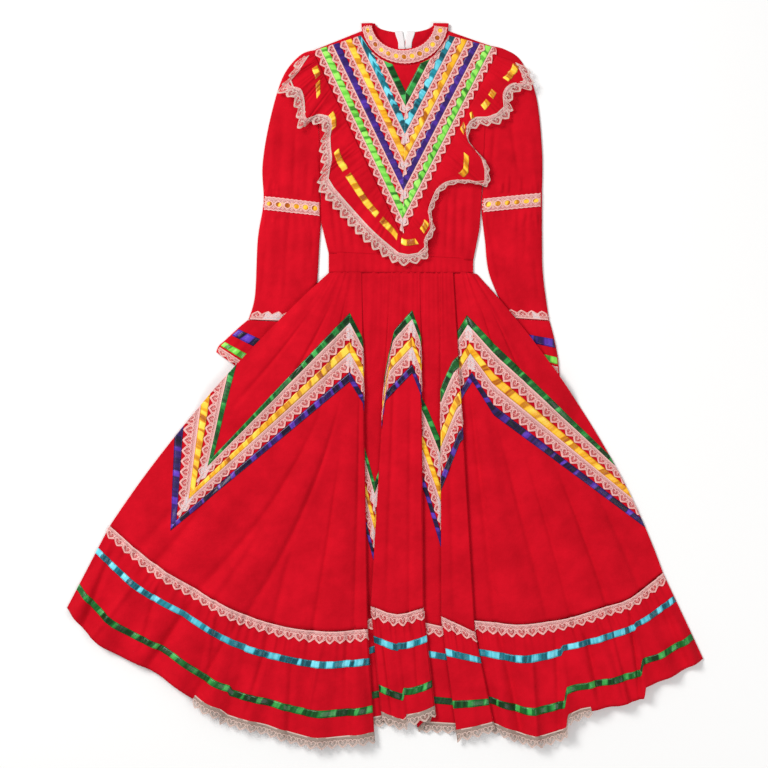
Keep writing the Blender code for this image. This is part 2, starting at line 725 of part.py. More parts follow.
HALF_NECK = [0.5 - (0.5 - SHOULDER_SHARE) * k / 5 for k in (5, 4, 3, 2, 1)]
HALF_BODICE = [0, 0.13] + HALF_NECK + [0.5]
BODICE_SHARES = HALF_BODICE + [1 - share for share in reversed(HALF_BODICE[:-1])]
BODICE_DOWNS = [0, 0.46, 0.55, UNDERARM_DOWN, 0.85, 1]
bodice_grid = []
for share in BODICE_SHARES:
    column = []
    for down in BODICE_DOWNS:
        x, y = bodice_place(share, down, FRONT_NECK_DEEP)
        at_side = share in (0, 1)
        column.append((x, y, armhole_level(down) if at_side else BODICE_LEVEL))
    bodice_grid.append(column)
slab("bodice_front", COTTON, np.array(bodice_grid, dtype=float), -HALF_CLOTH, HALF_CLOTH)

BACK_BODICE_DOWNS = [0, 0.04, 0.1, UNDERARM_DOWN, 0.85, 1]


def bodice_back(name, shares, toward):
    """Half of the bodice's back, flat but for the rise to its shoulder seam."""
    grid = []
    for share in shares:
        column = []
        for down in BACK_BODICE_DOWNS:
            x, y = bodice_place(share, down, BACK_NECK_DEEP)
            if share == 0.5:
                x = NECK_X + (x - NECK_X) + toward * SEAM_GAP / 2
            rise = ease(1 - down / 0.1) * ease((abs(bodice_top(share, 1)[0] - NECK_X) - 50) / 28)
            column.append((x, y, BACK_LEVEL + (SHOULDER_LEVEL - BACK_LEVEL) * rise))
        grid.append(column)
    slab(name, COTTON, np.array(grid, dtype=float), -HALF_CLOTH, HALF_CLOTH)


bodice_back("bodice_back_l", HALF_BODICE, -1)
bodice_back("bodice_back_r", [1 - share for share in reversed(HALF_BODICE)], 1)

# The collar: a front band that lies over two back ones
FRONT_COLLAR_TOP = (33.0, 56.0, 48.0)
FRONT_COLLAR_SEAM = (NECK_X, NECK_WIDE - SEAM_GAP, FRONT_NECK_DEEP - SEAM_GAP)
BACK_COLLAR_TOP = (36.0, 54.0, 16.0)
BACK_COLLAR_SEAM = (NECK_X, NECK_WIDE - SEAM_GAP, BACK_NECK_DEEP - SEAM_GAP)
COLLAR_TOP_LEVEL = 8.4


def collar_point(curve, angle, z):
    """A point of one of the collar's curves: its middle, half width and depth."""
    middle, wide, deep = curve
    return middle + wide * cos(angle), NECK_Y - deep * sin(angle), z


COLLAR_STEPS = 12
collar_angles = spread(pi, 0, COLLAR_STEPS + 1)
collar = Panel(range(COLLAR_STEPS + 1), [0, 1], np.array([
    [collar_point(FRONT_COLLAR_TOP, angle, COLLAR_TOP_LEVEL),
     collar_point(FRONT_COLLAR_SEAM, angle, BODICE_LEVEL)] for angle in collar_angles]))
collar.cloth("collar_front")
for name, start, toward in (("collar_back_l", pi, -1), ("collar_back_r", pi / 2, 1)):
    grid = []
    for angle in spread(start, start - pi / 2, COLLAR_STEPS // 2 + 1):
        rise = (SHOULDER_LEVEL - BACK_LEVEL) * ease((abs(cos(angle)) - 0.72) / 0.28)
        pair = [collar_point(curve, angle, BACK_LEVEL + rise)
                for curve in (BACK_COLLAR_TOP, BACK_COLLAR_SEAM)]
        if abs(cos(angle)) < 1e-6:
            pair = [(NECK_X + toward * SEAM_GAP / 2, y, z) for _, y, z in pair]
        grid.append(pair)
    slab(name, COTTON, np.array(grid), -HALF_CLOTH, HALF_CLOTH)


def beading(panel, name, ribbon_name, edges, start, end, slots, top, bottom):
    """Lace with a row of slots cut through it, over the gold ribbon that runs behind them."""
    pitch = (end - start) / slots
    cuts = []
    for k in range(slots):
        cuts += [start + pitch * (k + 0.22), start + pitch * (k + 0.78)]
    stations = [start]
    for at in sorted(cuts + [at for at in edges if start < at < end] + [end]):
        if at - stations[-1] > 0.02 * pitch:
            stations.append(at)
    steps = (0, 0.29, 0.71, 1)
    keep = np.ones((len(stations) - 1, 3), dtype=bool)
    for i in range(len(stations) - 1):
        phase = ((stations[i] + stations[i + 1]) / 2 - start) / pitch % 1
        keep[i, 1] = not 0.22 < phase < 0.78
    behind = [start] + [at for at in edges if start < at < end] + [end]
    panel.trim(ribbon_name, GOLD, behind, lambda at: top + (bottom - top) * 0.27,
               lambda at: top + (bottom - top) * 0.73)
    panel.trim(name, WHITE_LACE, stations, lambda at: top, lambda at: bottom,
               TRIM + LIFT, keep, steps)


beading(collar, "collar_beading_lace", "collar_gold_ribbon", collar.at,
        0.25, COLLAR_STEPS - 0.25, 12, 0.1, 0.9)

# The zip's tape, on the inside of the back from the collar to below the waist
ZipRow = namedtuple("ZipRow", "y half_width")
ZIP_TAPE_ROWS = (ZipRow(654, 15.5), ZipRow(616, 12), ZipRow(95, 12))
zip_level = BACK_LEVEL + (TRIM_LOW + TRIM_HIGH) / 2
slab("back_zip", ZIP_TAPE, np.array([
    [(NECK_X + side * row.half_width, row.y, zip_level) for row in ZIP_TAPE_ROWS]
    for side in (-1, 1)], dtype=float), -TRIM / 2, TRIM / 2)

# The yoke's chevrons of ribbon and lace, by their points. Each arm ends near the collar's seam, the
# shoulder's seam or the armhole, whichever its edge meets first.
Chevron = namedtuple("Chevron", "name finish width point_x point_y")
YOKE_SLOPES = {-1: 0.482, 1: 0.52}
CHEVRONS = (
    Chevron("yoke_green_ribbon", GREEN, RIBBON, 38.0, 528),
    Chevron("yoke_lace_1", WHITE_LACE, YOKE_LACE, 37.3, 502),
    Chevron("yoke_turquoise_ribbon", TURQUOISE, RIBBON, 36.6, 476),
    Chevron("yoke_lace_2", WHITE_LACE, YOKE_LACE, 35.9, 450),
    Chevron("yoke_yellow_ribbon", GOLD, RIBBON, 35.2, 424),
    Chevron("yoke_lace_3", WHITE_LACE, YOKE_LACE, 34.5, 398),
    Chevron("yoke_purple_ribbon", PURPLE, RIBBON, 33.8, 372),
    Chevron("yoke_lace_4", WHITE_LACE, YOKE_LACE, 33.1, 346),
    Chevron("yoke_lime_ribbon", LIME, RIBBON, 32.4, 320),
    Chevron("yoke_edge_lace", WHITE_LACE, YOKE_LACE + 1, 31.7, 292),
)
YOKE_MARGIN = 1.5
ARM_STEP = 0.5
ARMHOLE_X = {-1: -127.0, 1: 191.0}


def vertical_half(width, side):
    """Half of a strip's height where it is cut straight down, across an arm of the yoke."""
    slope = YOKE_SLOPES[side]
    return width / 2 * sqrt(1 + slope ** 2) / slope


def arm_end(point_x, edge_y, side):
    """Where an edge of an arm, which passes its point's line at edge_y, has to stop."""
    tip = LEFT_TIP if side < 0 else RIGHT_TIP
    neck = (NECK_X + side * NECK_WIDE * cos(pi * NECK_START / 180),
            NECK_Y - FRONT_NECK_DEEP * sin(pi * NECK_START / 180))
    rise = 0.0
    while True:
        x, y = point_x + side * rise * YOKE_SLOPES[side], edge_y + rise
        shoulder = tip[1] + (neck[1] - tip[1]) * (x - tip[0]) / (neck[0] - tip[0])
        across, up = (x - NECK_X) / (NECK_WIDE + YOKE_MARGIN), (NECK_Y - y) / (
            FRONT_NECK_DEEP + YOKE_MARGIN)
        if (y > shoulder - YOKE_MARGIN or hypot(across, up) < 1
                or side * (x - ARMHOLE_X[side]) > 0):
            return x - side * ARM_STEP * YOKE_SLOPES[side], y - ARM_STEP, BODICE_LEVEL
        rise += ARM_STEP


for row in CHEVRONS:
    half = (vertical_half(row.width, -1) + vertical_half(row.width, 1)) / 2
    grid = [[(row.point_x, row.point_y + half, BODICE_LEVEL),
             (row.point_x, row.point_y - half, BODICE_LEVEL)]]
    for side in (-1, 1):
        arm_half = vertical_half(row.width, side)
        arm = [arm_end(row.point_x, row.point_y + edge * arm_half, side) for edge in (1, -1)]
        grid.insert(0 if side < 0 else len(grid), arm)
    slab(row.name, row.finish, np.array(grid), TRIM_LOW, TRIM_HIGH)

# The bertha ruffle: where its gathered edge leaves the yoke (a height on the chevron's arm) and
# where its lace edge lies, with the height of the cloth there, from left shoulder to right
Ruffle = namedtuple("Ruffle", "side seam_y edge_x edge_y height")
RUFFLE = (
    Ruffle(-1, 612, -159, 600, 12), Ruffle(-1, 602, -172, 572, 18),
    Ruffle(-1, 592, -194, 543, 13), Ruffle(-1, 580, -170, 530, 20),
    Ruffle(-1, 568, -161, 505, 15), Ruffle(-1, 554, -156, 474, 18),
    Ruffle(-1, 529, -137, 485, 12), Ruffle(-1, 507, -112, 474, 16),
    Ruffle(-1, 482, -117, 440, 11), Ruffle(-1, 455, -113, 402, 17),
    Ruffle(-1, 427, -121, 369, 11), Ruffle(-1, 397, -100, 339, 16),
    Ruffle(-1, 362, -68, 303, 11), Ruffle(-1, 330, -35, 268, 17),
    Ruffle(-1, 302, 0, 240, 13), Ruffle(0, 278, 33, 224, 16),
    Ruffle(1, 292, 76, 236, 13), Ruffle(1, 304, 78, 262, 18),
    Ruffle(1, 320, 91, 286, 13), Ruffle(1, 338, 85, 314, 15),
    Ruffle(1, 358, 93, 338, 11), Ruffle(1, 376, 104, 358, 15),
    Ruffle(1, 397, 126, 371, 11), Ruffle(1, 417, 159, 372, 17),
    Ruffle(1, 437, 189, 368, 12), Ruffle(1, 457, 188, 405, 18),
    Ruffle(1, 477, 163, 436, 11), Ruffle(1, 497, 152, 461, 16),
    Ruffle(1, 515, 171, 479, 11), Ruffle(1, 534, 207, 483, 17),
    Ruffle(1, 552, 232, 503, 12), Ruffle(1, 568, 230, 526, 19),
    Ruffle(1, 582, 247, 545, 13), Ruffle(1, 595, 275, 545, 19),
    Ruffle(1, 608, 265, 585, 13),
)
RUFFLE_SEAM_X, RUFFLE_SEAM_Y = 31.7, 274.0
RUFFLE_SEAM_LEVEL = BODICE_LEVEL + CLOTH + LIFT
RUFFLE_DOWNS = (0.0, 0.5, 0.66, 0.85, 1.0)
RUFFLE_LACE_INSET = 1.7
ruffle_seam = [
    np.array((RUFFLE_SEAM_X + row.side * (row.seam_y - RUFFLE_SEAM_Y) * YOKE_SLOPES.get(row.side, 0),
              row.seam_y, RUFFLE_SEAM_LEVEL)) for row in RUFFLE]
ruffle_edge = [np.array((row.edge_x, row.edge_y, row.height), dtype=float) for row in RUFFLE]
ruffle_stations = spread(0, len(RUFFLE) - 1, 2 * len(RUFFLE) - 1)
ruffle_grid = []
for at in ruffle_stations:
    seam, edge = curve_through(ruffle_seam, at), curve_through(ruffle_edge, at)
    column = []
    for down in RUFFLE_DOWNS:
        place = seam * (1 - down) + edge * down
        place[2] = seam[2] + (edge[2] - seam[2]) * sin(min(down, 1) * pi / 2)
        column.append(place)
    ruffle_grid.append(column)
ruffle = Panel(ruffle_stations, RUFFLE_DOWNS, np.array(ruffle_grid))
ruffle.cloth("bertha_ruffle", 3)
ruffle.row_strip("bertha_gold_ribbon", GOLD, 1)
ruffle.row_strip("bertha_lace", WHITE_LACE, 3, -TRIM / 2, TRIM / 2, RUFFLE_LACE_INSET)

# The sleeves and their cuffs: flattened tubes, by the two ends of each section and its height.
# Their first section is the armhole, and the elbow's band lies between two of the others.
Section = namedtuple("Section", "west_x west_y east_x east_y height")
SLEEVES = {
    "l": (
        Section(-129.5, 619, -121, 384, BODICE_LEVEL),
        Section(-157, 609, -121.5, 374, 6.2),
        Section(-189, 568, -122, 364, 6.2),
        Section(-213, 487, -122, 354, 6.2),
        Section(-226, 407, -121.5, 346, 6.1),
        Section(-224, 350, -121, 337, 6.0),
        Section(-226, 323, -120.5, 311, 6.0),
        Section(-235, 268, -121, 268, 6.1),
        Section(-240, 166, -130, 166, 5.8),
        Section(-252, 121, -160, 117, 5.5),
    ),
    "r": (
        Section(182, 388, 195.5, 626, BODICE_LEVEL),
        Section(182.5, 378, 222, 620, 6.2),
        Section(183, 368, 252, 598, 6.2),
        Section(182.5, 359, 279, 535, 6.2),
        Section(182, 352, 290, 435, 6.1),
        Section(181.5, 344, 290, 356, 6.0),
        Section(181, 318, 290, 329, 6.0),
        Section(185, 268, 290, 268, 6.1),
        Section(194, 202, 292, 202, 5.8),
        Section(229, 124, 303, 119, 5.5),
    ),
}
CUFFS = {
    "l": (
        Section(-253, 120, -162, 115, 5.5),
        Section(-270, 106, -178, 66, 6.0),
        Section(-296, 82, -198, 30, 6.0),
        Section(-307, 72, -208, 8, 6.0),
        Section(-312, 60, -217, -8, 6.0),
    ),
    "r": (
        Section(230, 123, 304, 118, 5.5),
        Section(231, 102, 312, 88, 6.0),
        Section(229, 75, 319, 53, 6.0),
        Section(229, 58, 321, 34, 6.0),
        Section(229, 40, 323, 16, 6.0),
    ),
}
RING = ((0.0, "side"), (0.05, "top"), (0.18, "top"), (0.34, "top"), (0.5, "top"), (0.66, "top"),
        (0.82, "top"), (0.95, "top"), (1.0, "side"), (0.95, "under"), (0.5, "under"),
        (0.05, "under"))
TUBE_EDGE = 2.5
ELBOW_ROW = 5


def tube(sections, armhole):
    """A flattened tube's panel, lying on the surface. armhole says that its first section
    meets the bodice, whose levels it follows."""
    grid = []
    for share, part in RING:
        line = []
        for number, row in enumerate(sections):
            x = row.west_x + (row.east_x - row.west_x) * share
            y = row.west_y + (row.east_y - row.west_y) * share
            low, high = BACK_LEVEL, BACK_LEVEL + TUBE_EDGE
            crown = (row.height - HALF_CLOTH - high) * sin(pi * share) ** 0.5
            if armhole and number == 0:
                from_tip = share if sections is SLEEVES["l"] else 1 - share
                low += (SHOULDER_LEVEL - BACK_LEVEL) * ease(1 - from_tip / 0.45)
                high, crown = armhole_level(from_tip * UNDERARM_DOWN), 0.0
            z = {"top": high + crown, "side": (low + high) / 2, "under": low}[part]
            line.append((x, y, z))
        grid.append(line)
    return Panel(range(len(RING)), range(len(sections)), np.array(grid, dtype=float), ring=True)


for side in ("l", "r"):
    sleeve = tube(SLEEVES[side], True)
    sleeve.cloth("sleeve_" + side)
    beading(sleeve, "elbow_beading_lace_" + side, "elbow_gold_ribbon_" + side, sleeve.at,
            0.6, 7.4, 7, ELBOW_ROW + 0.02, ELBOW_ROW + 0.98)
    top_stations = [0.5, 1, 2, 3, 4, 5, 6, 7, 7.5]
    sleeve.trim("wrist_lace_" + side, WHITE_LACE, top_stations,
                lambda at: 8.55, lambda at: 8.98)
    cuff = tube(CUFFS[side], False)
    cuff.cloth("cuff_flounce_" + side)
    for name, finish, top, bottom in (
        ("cuff_purple_ribbon_", PURPLE, 1.1, 1.55),
        ("cuff_lime_ribbon_", LIME, 2.1, 2.8),
        ("cuff_lace_", WHITE_LACE, 3.05, 3.98),
    ):
        cuff.trim(name + side, finish, top_stations,
                  lambda at, line=top: line, lambda at, line=bottom: line)
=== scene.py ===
"""A folklorico dress laid flat: red cotton, satin ribbon and cotton lace, on its CAD frame.

X runs across the dress, Y from the hem to the neck and Z up. Its places are worked out in
millimetres and put into the meshes in metres.
"""

from collections import namedtuple
from math import ceil, pi, sin, sqrt

import bmesh
import bpy
import numpy as np
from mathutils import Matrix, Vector


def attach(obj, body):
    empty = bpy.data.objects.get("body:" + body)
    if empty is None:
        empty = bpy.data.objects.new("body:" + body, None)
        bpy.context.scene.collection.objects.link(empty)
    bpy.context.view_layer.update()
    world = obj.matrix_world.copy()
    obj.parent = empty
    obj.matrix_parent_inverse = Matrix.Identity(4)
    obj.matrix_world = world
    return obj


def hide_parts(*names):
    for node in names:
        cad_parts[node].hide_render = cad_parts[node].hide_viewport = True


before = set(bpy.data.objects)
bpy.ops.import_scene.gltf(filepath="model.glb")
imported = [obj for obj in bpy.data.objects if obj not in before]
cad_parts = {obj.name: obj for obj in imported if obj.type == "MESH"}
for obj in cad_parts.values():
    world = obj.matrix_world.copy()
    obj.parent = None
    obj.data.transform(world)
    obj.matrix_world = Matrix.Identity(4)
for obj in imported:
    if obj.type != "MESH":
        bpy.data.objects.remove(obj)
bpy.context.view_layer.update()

# The board that the dress is laid on, the light over it and the camera straight above it.
# The board is matt and pale, and two broad lamps and a soft sky light it from the top left,
# so that folds shade gently to the lower right. One photograph pixel is 1.85 mm on the dress.
MM = 0.001
PIXEL = 1.85 * MM
VIEW_WIDTH = 768 * PIXEL
CAMERA_HEIGHT = 3.2
SENSOR = 36.0
BOARD_HALF = 6


def linear(code):
    """The linear values of a colour given as an sRGB hex code."""
    values = [int(code[k:k + 2], 16) / 255 for k in (1, 3, 5)]
    return (*(((v + 0.055) / 1.055) ** 2.4 if v > 0.04045 else v / 12.92 for v in values), 1.0)


def feed(tree, node, inputs):
    """Sets a node's sockets to values, or links them to the outputs of other nodes.

    A node given as a value stands for its Fac output, or else for its first output in use.
    """
    for socket, value in inputs.items() if isinstance(inputs, dict) else enumerate(inputs):
        if isinstance(value, bpy.types.Node):
            value = value.outputs.get("Fac") or next(out for out in value.outputs if out.enabled)
        if isinstance(value, bpy.types.NodeSocket):
            tree.links.new(value, node.inputs[socket])
        else:
            node.inputs[socket].default_value = value


def new_material(name, **shader):
    """A material with one Principled shader, whose sockets are named with underscores."""
    material = bpy.data.materials.new(name)
    material.use_nodes = True
    tree = material.node_tree
    node = tree.nodes["Principled BSDF"]
    feed(tree, node, {socket.replace("_", " "): value for socket, value in shader.items()})
    return material, tree, node


def mesh_of(form, name):
    """The finished mesh of a bmesh form."""
    mesh = bpy.data.meshes.new(name)
    form.to_mesh(mesh)
    form.free()
    return mesh


def put_in_scene(name, data):
    """A new object of the scene."""
    made = bpy.data.objects.new(name, data)
    bpy.context.scene.collection.objects.link(made)
    return made


def soft_lamp(name, place, size, power):
    """A square lamp that faces the middle of the dress."""
    lamp = bpy.data.lights.new(name, "AREA")
    lamp.size, lamp.energy = size, power
    holder = put_in_scene(name, lamp)
    holder.location = place
    holder.rotation_euler = (-Vector(place)).to_track_quat("-Z", "Y").to_euler()


board_form = bmesh.new()
bmesh.ops.create_grid(board_form, x_segments=1, y_segments=1, size=BOARD_HALF)
board = put_in_scene("board", mesh_of(board_form, "board"))
board.data.materials.append(
    new_material("matt_white_paint", Base_Color=linear("#F2F1EF"), Roughness=0.9)[0])

soft_lamp("key_lamp", (-2.6, 2.0, 2.9), size=1.6, power=172)
soft_lamp("fill_lamp", (1.9, -1.2, 2.6), size=1.8, power=36)
sky = bpy.data.worlds.new("soft_sky")
sky.use_nodes = True
feed(sky.node_tree, sky.node_tree.nodes["Background"],
     {"Color": linear("#F4F5F8"), "Strength": 0.45})
bpy.context.scene.world = sky
bpy.context.scene.view_settings.view_transform = "Standard"

camera = put_in_scene("camera", bpy.data.cameras.new("camera"))
camera.data.sensor_width = SENSOR
camera.data.lens = SENSOR * CAMERA_HEIGHT / VIEW_WIDTH
camera.location = (-PIXEL, PIXEL, CAMERA_HEIGHT)
bpy.context.scene.camera = camera

# The skirt's front: plain-woven cotton cut in flared gores, gathered into the waistband and laid
# in overlapping leaves. Each rib below is a line down the cloth, from the waist by way of the
# flounce's seam to the hem; a top leaf turns under at its edges into the leaf below it.
CLOTH = 0.8
EDGE_LEVEL = 2.8
OUTER_TURN, INNER_TURN = 1.1, 2.7
LOW_LEAF = 4.4
TOP_LEAF = LOW_LEAF + 2 * OUTER_TURN + 2 * INNER_TURN
Rib = namedtuple("Rib", "waist_x waist_y bow seam_x seam_y hem_x hem_y height")
LEAVES = {
    "left": (
        (-104, 207, -25, -509, -261, -592, -420, EDGE_LEVEL), (-96, 208, -19, -431, -326, -531, -487, 9),
        (-87, 209, -13, -350, -376, -426, -540, 11), (-76, 209, -8, -268, -420, -327, -609, 12),
        (-65, 209, -4, -187, -446, -224, -642, 12), (-54, 209, 0, -111, -455, -130, -668, 12),
        (-43, 209, 0, -33, -451, -20, -659, TOP_LEAF),
    ),
    "left_gap": (
        (-52, 209, 0, -61, -448, -50, -636, LOW_LEAF), (22, 209, 0, 2, -420, 28, -624, LOW_LEAF),
    ),
    "middle": (
        (11, 209, 0, -25, -409, -4, -620, TOP_LEAF), (39, 209, 0, 22, -424, 43, -631, TOP_LEAF),
        (65, 209, 0, 70, -412, 92, -612, TOP_LEAF),
    ),
    "right_gap": (
        (54, 209, 0, 41, -433, 61, -640, LOW_LEAF), (113, 209, 0, 133, -453, 157, -644, LOW_LEAF),
    ),
    "narrow": (
        (102, 209, 0, 105, -428, 135, -657, TOP_LEAF), (126, 209, 0, 165, -456, 202, -638, TOP_LEAF),
    ),
    "right": (
        (116, 209, 0, 140, -433, 168, -631, LOW_LEAF), (131, 209, 0, 176, -437, 206, -642, 5),
        (141, 209, 4, 250, -442, 285, -660, 11), (149, 208, 10, 326, -433, 376, -616, 12),
        (156, 207, 18, 389, -414, 453, -590, 12), (163, 206, 28, 451, -394, 525, -553, 9),
        (170, 205, 38, 514, -348, 592, -516, EDGE_LEVEL),
    ),
}
RIBS = {leaf: Rib(*np.array(rows, dtype=float).T) for leaf, rows in LEAVES.items()}
SPAN = {leaf: len(rows) - 1 for leaf, rows in LEAVES.items()}
LEAF_ORDER = list(LEAVES)
TOP_LEAVES = ("left", "middle", "narrow")
TURN_STEP, TURN_STEPS = 0.1, 6
TURN = TURN_STEP * TURN_STEPS
LEAF_START, LEAF_END = {}, {}
next_start = 0.0
for leaf in LEAVES:
    LEAF_START[leaf], LEAF_END[leaf] = next_start, next_start + SPAN[leaf]
    next_start += SPAN[leaf] + TURN

# Each leaf's gathers at the waist and waves in its flounce, where they start and their heights
Gathering = namedtuple("Gathering", "start gathers gather_height waves wave_height")
GATHERING = {
    "left": Gathering(0, 4, 3.0, 9, 9.5), "middle": Gathering(0, 2, 3.0, 2, 6.0),
    "narrow": Gathering(0, 1, 2.0, 1, 4.0), "right": Gathering(1, 4, 3.0, 8, 9.0),
}

# Long creases: across is counted in ribs, down from the waist 0 to the seam 1 and
# the hem 2, and a negative height is a trough
Crease = namedtuple("Crease", "across_top down_top across_bottom down_bottom width height")
CREASES = {
    "left": (
        (4.7, 0.30, 2.6, 1.0, 0.45, 7.0), (2.4, 0.55, 1.4, 1.0, 0.35, 6.0),
        (5.4, 0.30, 5.2, 1.0, 0.30, 5.0), (4.15, 0.34, 2.05, 1.0, 0.10, -5.1),
        (4.95, 0.30, 3.15, 1.0, 0.08, -3.9), (5.05, 0.44, 4.65, 1.1, 0.07, -3.6),
        (5.72, 0.22, 5.62, 1.1, 0.06, -3.3), (1.9, 0.50, 0.95, 1.1, 0.09, -4.2),
        (3.3, 0.62, 2.35, 1.05, 0.07, -2.7), (3.9, 0.70, 3.65, 1.2, 0.08, -3.3),
        (1.1, 0.66, 0.55, 1.15, 0.08, -3.0), (3.0, 0.06, 2.1, 0.42, 0.09, -2.8),
        (4.2, 0.05, 3.9, 0.36, 0.08, -2.7), (1.6, 0.10, 0.9, 0.45, 0.10, -2.4),
        (0.30, 1.05, 0.55, 1.90, 0.07, -5.1), (0.95, 1.20, 0.80, 1.98, 0.06, 4.2),
        (1.30, 1.02, 1.62, 1.75, 0.05, -4.5), (2.05, 1.10, 1.85, 1.92, 0.08, -6.0),
        (2.50, 1.04, 2.72, 1.60, 0.05, 3.9), (2.95, 1.15, 2.70, 1.98, 0.07, -5.4),
        (3.75, 1.02, 3.62, 1.85, 0.06, -4.5), (4.30, 1.20, 4.48, 1.98, 0.08, -5.1),
        (4.95, 1.05, 4.80, 1.70, 0.05, 3.6), (5.45, 1.10, 5.52, 1.95, 0.07, -4.8),
    ),
    "right": (
        (1.7, 0.25, 2.0, 1.0, 0.35, 6.0), (3.6, 0.35, 3.8, 1.0, 0.40, 6.0),
        (4.6, 0.45, 4.9, 1.0, 0.35, 6.0), (1.35, 0.20, 1.45, 1.1, 0.12, -4.5),
        (2.35, 0.40, 2.75, 1.1, 0.09, -3.9), (3.15, 0.44, 3.3, 1.1, 0.08, -3.3),
        (4.15, 0.52, 4.4, 1.12, 0.08, -4.2), (5.1, 0.60, 5.35, 1.1, 0.07, -3.0),
        (3.4, 0.05, 3.0, 0.40, 0.08, -3.0), (4.4, 0.08, 4.2, 0.38, 0.09, -2.7),
        (1.50, 1.05, 1.65, 1.90, 0.08, -4.8), (2.15, 1.20, 1.95, 1.98, 0.06, 3.9),
        (2.80, 1.02, 2.42, 1.95, 0.07, -5.1), (3.55, 1.08, 3.30, 1.85, 0.08, -4.5),
        (4.20, 1.10, 3.95, 1.98, 0.06, 3.6), (4.92, 1.02, 4.26, 1.98, 0.06, -6.0),
        (5.60, 1.10, 5.50, 1.90, 0.08, -4.2),
    ),
    "middle": (
        (0.55, 0.10, 0.62, 0.9, 0.10, -2.7), (1.35, 0.22, 1.45, 1.1, 0.10, -2.4),
        (0.40, 1.08, 0.48, 1.90, 0.08, -3.9), (1.55, 1.04, 1.45, 1.70, 0.07, -3.3),
    ),
    "narrow": (
        (0.35, 0.15, 0.4, 1.05, 0.12, -2.1),
    ),
}

# Small folds that run down the flounce, where its trims step up on their right, by the step at the
# hem in millimetres
Tuck = namedtuple("Tuck", "across_top across_bottom step")
TUCKS = {
    "left": (Tuck(3.35, 3.2, -7),),
    "middle": (Tuck(0.9, 0.95, 11),),
    "right": (Tuck(2.92, 2.55, 24), Tuck(5.02, 4.36, 20)),
}
TUCK_WIDTH, TUCK_REACH, TUCK_RISE = 0.035, 0.75, 2.2
TUCK_START, TUCK_GROWTH = 1.02, 0.75
TUCK_RIDGE, TUCK_RIDGE_WIDTH = -0.03, 0.07

SIDE_ROUND = 26.0
WAIST_RISE = 6.0
WAIST_PRESS, WAIST_PRESSED = 0.34, 0.35
WAIST_LEVEL = LOW_LEAF + (TOP_LEAF - LOW_LEAF) * WAIST_PRESS
GATHERS_START, GATHERS_END, GAP_GATHERS_END = 0.02, 0.45, 0.34
WAVES_GROWN, WAVES_UNEVEN = 0.8, 0.22
CREASE_GROWN, CREASE_LOST, CREASE_LOST_BY, CREASE_FADE, CREASE_FADED_BY = 0.4, 0.7, 0.6, 0.85, 0.4

# Where the skirt passes over a cuff: a hump along a line, with its width and height
Hump = namedtuple("Hump", "start_x start_y end_x end_y plateau slope height")
HUMPS = (Hump(-172, 105, -262, 25, 52, 62, 8.6), Hump(231, 93, 272, 25, 50, 50, 8.6))
FRONT_EXTRA = 4.0

# Small uneven gathers: below the waist, and on the flounce below its seam. A rib is wider on some
# leaves than on others, so each leaf has its own width of gather at the waist.
chance = np.random.default_rng(11)
Pinching = namedtuple("Pinching", "waist_count waist_width seam_count")
PINCHING = {
    "left": Pinching(12, 0.26, 58), "left_gap": Pinching(11, 0.045, 0),
    "middle": Pinching(9, 0.1, 10), "right_gap": Pinching(8, 0.05, 0),
    "narrow": Pinching(4, 0.11, 8), "right": Pinching(11, 0.26, 52),
}
SEAM_WIDTH = 0.05
Pinch = namedtuple("Pinch", "across start length width height")
PINCHES = {leaf: [
    Pinch((k + chance.uniform(0.15, 0.85)) / count * SPAN[leaf], start,
          chance.uniform(0.35, 1) * longest, width * chance.uniform(0.7, 1.3),
          chance.uniform(0.5, 1.7) * tall)
    for start, count, longest, width, tall in (
        (0.0, row.waist_count, 0.4, row.waist_width, 2.0),
        (1.0, row.seam_count, 0.6, SEAM_WIDTH, 2.5))
    for k in range(count)] for leaf, row in PINCHING.items()}


def ease(value):
    """A smooth step from 0 to 1."""
    value = np.clip(value, 0.0, 1.0)
    return value * value * (3 - 2 * value)


def mix(start, end, share):
    """The value at a share of the way between two."""
    return start + (end - start) * share


def bell(value):
    """A soft ridge: 1 at 0, and nearly gone at 2."""
    return np.exp(-value ** 2)


def unit(vectors):
    """Vectors made one long."""
    return vectors / np.maximum(np.linalg.norm(vectors, axis=-1, keepdims=True), 1e-9)


def smooth(before, start, end, after, t):
    """Places between start and end on a smooth curve through four points."""
    return 0.5 * (
        2 * start + (end - before) * t
        + (2 * before - 5 * start + 4 * end - after) * t ** 2
        + (3 * start - before - 3 * end + after) * t ** 3)


def spline(points, at):
    """Places on a smooth curve through points numbered 0, 1, 2 and so on."""
    last = len(points) - 1
    at = np.asarray(at, dtype=float)
    i = np.clip(at.astype(int), 0, last - 1)
    corners = [points[np.clip(k, 0, last)] for k in (i - 1, i, i + 1, i + 2)]
    return smooth(*corners, (at - i)[..., None])


def past_tuck(tuck, across, down):
    """How far places lie past a tuck's line, in ribs, and how deep it is there from 0 to 1."""
    line = mix(tuck.across_top, tuck.across_bottom, np.clip(down - 1, 0, 1))
    return across - line, ease((down - TUCK_START) / TUCK_GROWTH)


def tuck_shift(leaf, across, down):
    """How far up the board the flounce is moved by its tucks."""
    shift = np.zeros(np.broadcast(across, down).shape)
    for tuck in TUCKS.get(leaf, ()):
        past, depth = past_tuck(tuck, across, down)
        side = 2 * ease(past / TUCK_WIDTH + 0.5) - 1
        shift = shift + tuck.step / 2 * depth * side * np.exp(-abs(past) / TUCK_REACH)
    return shift


